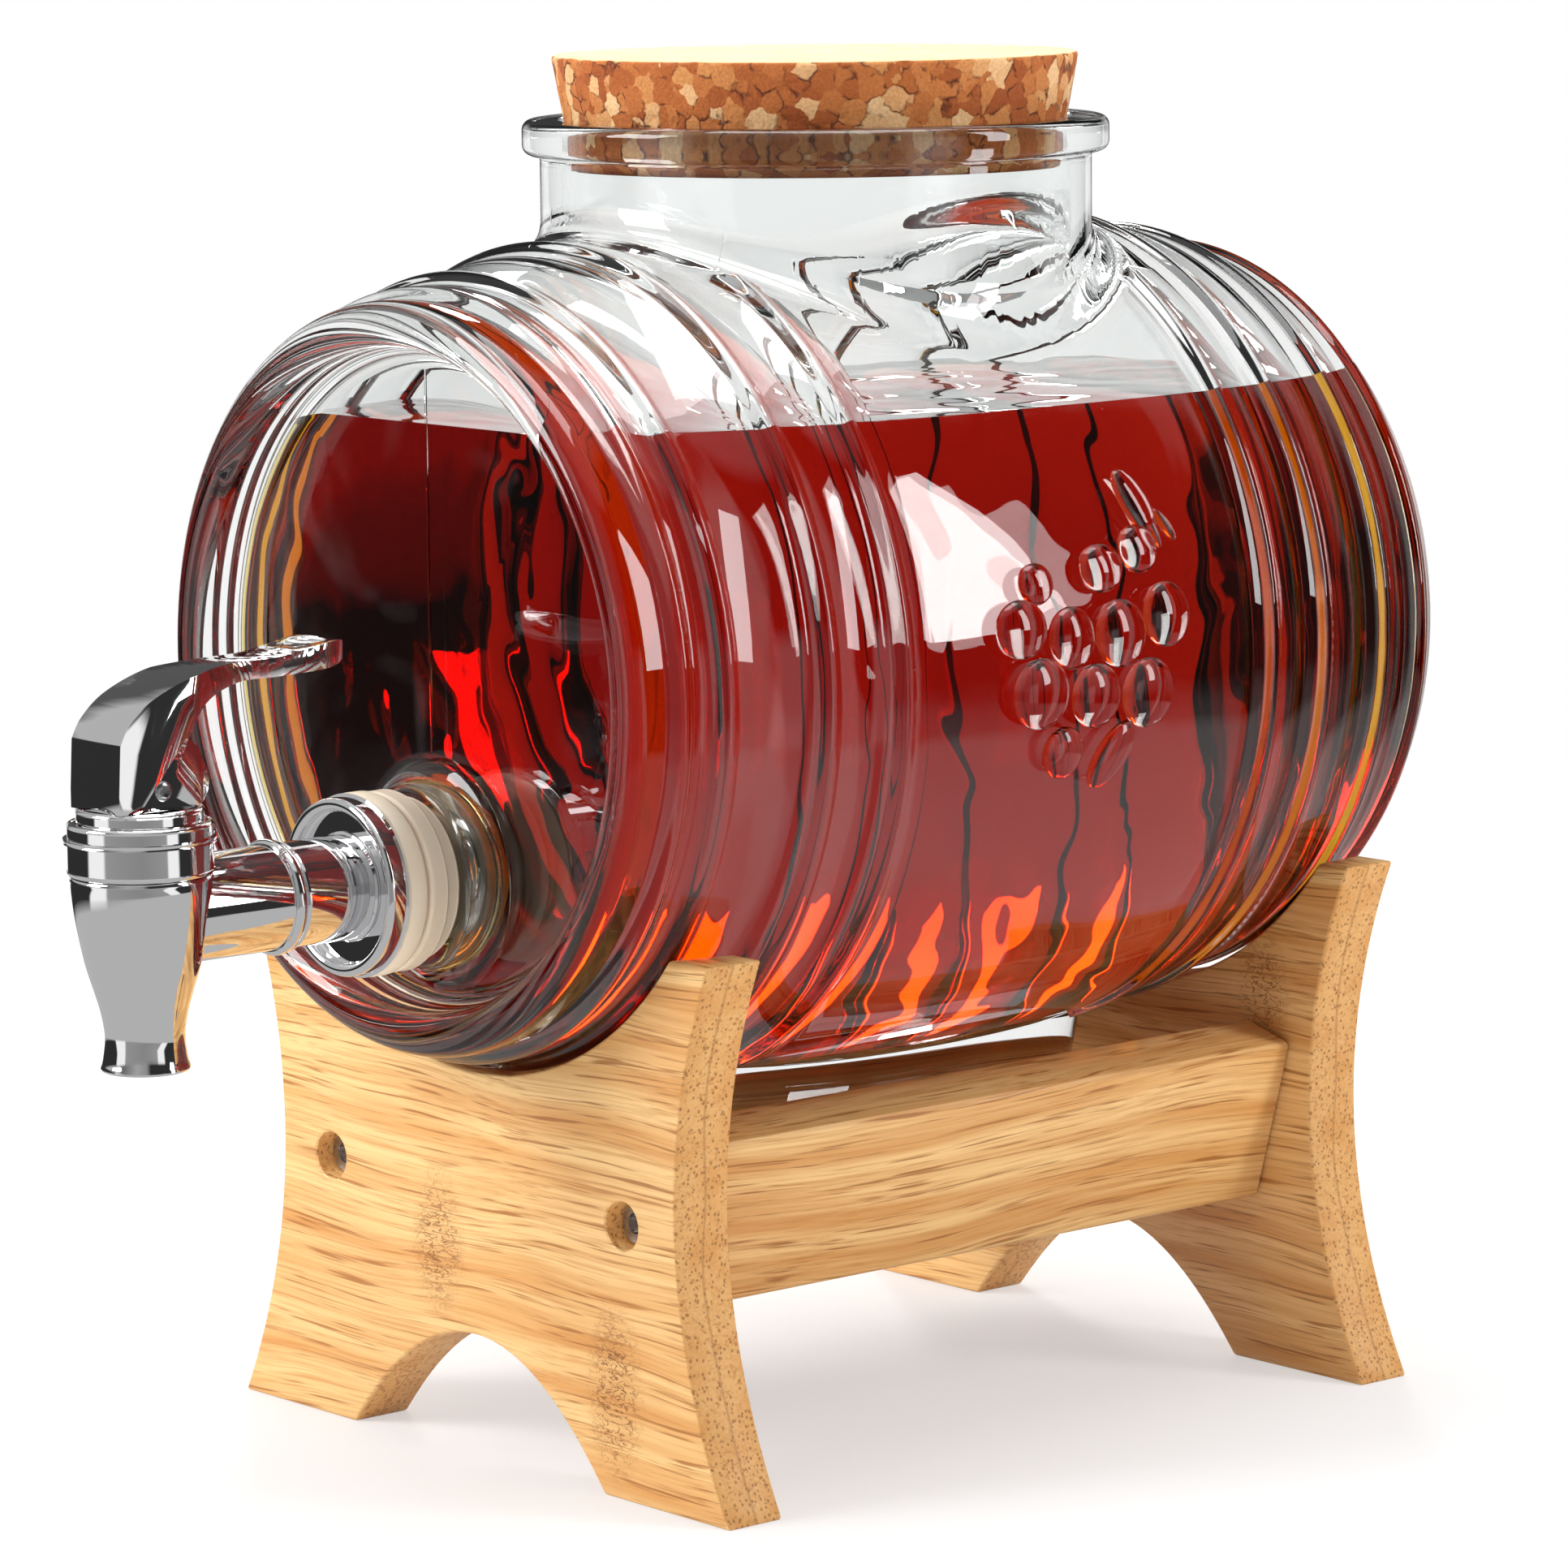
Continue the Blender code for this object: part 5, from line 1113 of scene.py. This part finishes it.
combined(stem, "UNION", bar_along_x("eye", 3.4, 3, 0.3))
combined(stem, "DIFFERENCE", bar_along_x("pin hole", 1.8, 8))
settled(stem, 32)
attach(stem, "stem")
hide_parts("stem")

seat_cup = tap_solid("seat_cup", [(0, CUP_LOW, 0), (7.6, CUP_LOW, 0.7), (7.6, CUP_LOW + 2, 0.5),
                                  (6.8, CUP_LOW + 4.6, 0.4), (2.7, CUP_LOW + 4.6, 0.2), (2.7, CUP_LOW + 2, 0),
                                  (0, CUP_LOW + 2, 0)], ivory_silicone)
settled(seat_cup, 32)
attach(seat_cup, "stem")
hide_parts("seat_cup")


def coil_tree(material):
    """A compression spring: a spiral whose end turns lie close, swept with a round wire."""
    tree = bpy.data.node_groups.new("wound_spring", "GeometryNodeTree")
    sockets = {}
    for name, value in (("Wire Radius", 0.0005), ("Coil Radius", 0.0052), ("Height", 0.0184), ("Turns", 8.0),
                        ("End Pitch", 0.00155)):
        socket = tree.interface.new_socket(name=name, in_out="INPUT", socket_type="NodeSocketFloat")
        socket.default_value = value
        sockets[name] = socket.identifier
    tree.interface.new_socket(name="Geometry", in_out="OUTPUT", socket_type="NodeSocketGeometry")
    given = tree.nodes.new("NodeGroupInput").outputs
    spiral = add(tree, "GeometryNodeCurveSpiral", {
        "Resolution": 32, "Rotations": given["Turns"], "Start Radius": given["Coil Radius"],
        "End Radius": given["Coil Radius"], "Height": 0.0})
    share = add(tree, "GeometryNodeSplineParameter").outputs["Factor"]

    def sum_of(a, b, operation):
        return figured(tree, operation, a, b)

    turn_at = sum_of(share, given["Turns"], "MULTIPLY")
    active = sum_of(given["Turns"], 2.0, "SUBTRACT")
    active_rise = sum_of(given["Height"], sum_of(given["End Pitch"], 2.0, "MULTIPLY"), "SUBTRACT")
    active_pitch = sum_of(active_rise, active, "DIVIDE")
    lower = sum_of(sum_of(turn_at, 1.0, "MINIMUM"), given["End Pitch"], "MULTIPLY")
    past_first = sum_of(sum_of(sum_of(turn_at, 1.0, "SUBTRACT"), 0.0, "MAXIMUM"), active, "MINIMUM")
    last_turn = sum_of(turn_at, sum_of(given["Turns"], 1.0, "SUBTRACT"), "SUBTRACT")
    upper = sum_of(sum_of(last_turn, 0.0, "MAXIMUM"), given["End Pitch"], "MULTIPLY")
    rise = sum_of(sum_of(lower, sum_of(past_first, active_pitch, "MULTIPLY"), "ADD"), upper, "ADD")
    lift = add(tree, "ShaderNodeCombineXYZ", {"Z": rise}).outputs[0]
    placed_wire = add(tree, "GeometryNodeSetPosition", {"Geometry": spiral.outputs[0],
                                                        "Offset": lift}).outputs[0]
    wire = add(tree, "GeometryNodeCurvePrimitiveCircle", {"Resolution": 12, "Radius": given["Wire Radius"]})
    swept = add(tree, "GeometryNodeCurveToMesh", {"Curve": placed_wire, "Profile Curve": wire.outputs[0],
                                                  "Fill Caps": True}).outputs[0]
    real = add(tree, "GeometryNodeRealizeInstances", {"Geometry": swept}).outputs[0]
    coloured = add(tree, "GeometryNodeSetMaterial", {"Geometry": real, "Material": material}).outputs[0]
    add(tree, "NodeGroupOutput", {"Geometry": coloured})
    return tree, sockets


SPRING_LOW = -4.4
SPRING_HIGH = 15
coil, coil_inputs = coil_tree(steel)
spring = bpy.data.objects.new("spring", bpy.data.meshes.new("spring"))
bpy.context.collection.objects.link(spring)
winding = spring.modifiers.new("winding", "NODES")
winding.node_group = coil
winding[coil_inputs["Height"]] = (SPRING_HIGH - SPRING_LOW - 1) / 1000
settled(spring, 40)
spring.data.transform(Matrix.Translation((0, TAP_Y / 1000, (TAP_Z + SPRING_LOW + 0.5) / 1000)))
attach(spring, "barrel")
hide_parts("spring")

# Lever: a chromed zinc cam lever, cast and polished, whose square block turns on the pin and whose
# spoon-shaped thumb rest is dished. The pin is plain stainless rod.

LEVER_REACH = 49.8
LEVER_RISE = 26.2
arm_top = ((-0.204, 0.38), (-0.157, 0.53), (-0.048, 0.7), (0.139, 0.84), (0.34, 0.9), (0.6, 0.915),
           (0.76, 0.96), (0.92, 1), (1, 0.93))
arm_under = ((1, 0.93), (0.95, 0.85), (0.84, 0.79), (0.6, 0.765), (0.41, 0.75), (0.215, 0.61), (0.13, 0.38))
side_view = [(-10.7, -3.9), (-10.7, 0)]
for shares in (arm_top, arm_under):
    side_view += through_points([(LEVER_REACH * a, LEVER_RISE * b) for a, b in shares], 7)[:-1]
foot_along = LEVER_REACH * arm_under[-1][0]
side_view += [(foot_along, LEVER_RISE * arm_under[-1][1]), (foot_along + 2.5, 8), (9.3, 6.75)]
side_view += arc((6.8, 1.1), (5, 5), 40, -90, 20)
waist = [(8.5, 9.3), (6.525, 14.94), (5.8, 22.41), (6.4, 33.864), (7, 42.8)]
plan_half = [(8.5, -16), (8.5, 9.3)] + through_points(waist, 6)[1:]
plan_half += arc((0, 42.8), (7, 7), 0, 90, 20)[1:-1]
plan_view = plan_half + [(0, LEVER_REACH)] + [(-x, y) for x, y in reversed(plan_half)]
cheeks = [[(x, TAP_Y + a, TAP_Z + PIN_UP + b) for a, b in side_view] for x in (-8.5, 8.5)]
lever = made_object("lever", loft(cheeks), mirror_chrome)
plan = made_object("plan", loft([[(x, TAP_Y + y, z) for x, y in plan_view] for z in (100, 220)]))
combined(lever, "INTERSECT", plan)
rounded(lever, 1.0, 4, 50)
bm = bmesh.new()
bmesh.ops.create_uvsphere(bm, u_segments=48, v_segments=24, radius=1)
bmesh.ops.scale(bm, vec=(4.6, 9, 2.2), verts=bm.verts)
bmesh.ops.translate(bm, vec=(0, TAP_Y + 40.5, TAP_Z + PIN_UP + LEVER_RISE + 0.55), verts=bm.verts)
dimple = made_object("dimple", bm)
bm = bmesh.new()
bmesh.ops.create_cube(bm, size=1)
bmesh.ops.scale(bm, vec=(6.6, 9.6, 12.9), verts=bm.verts)
bmesh.ops.translate(bm, vec=(0, TAP_Y, TAP_Z + PIN_UP + 3.7 - 6.45), verts=bm.verts)
combined(lever, "DIFFERENCE", dimple, made_object("eye slot", bm), bar_along_x("pin hole", 1.8, 17))
settled(lever, 38)
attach(lever, "lever")
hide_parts("lever")

pin = bar_along_x("lever_pin", 1.5, 8.2, 0.25)
pin.data.materials.append(steel)
settled(pin, 32)
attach(pin, "lever")
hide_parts("lever_pin")
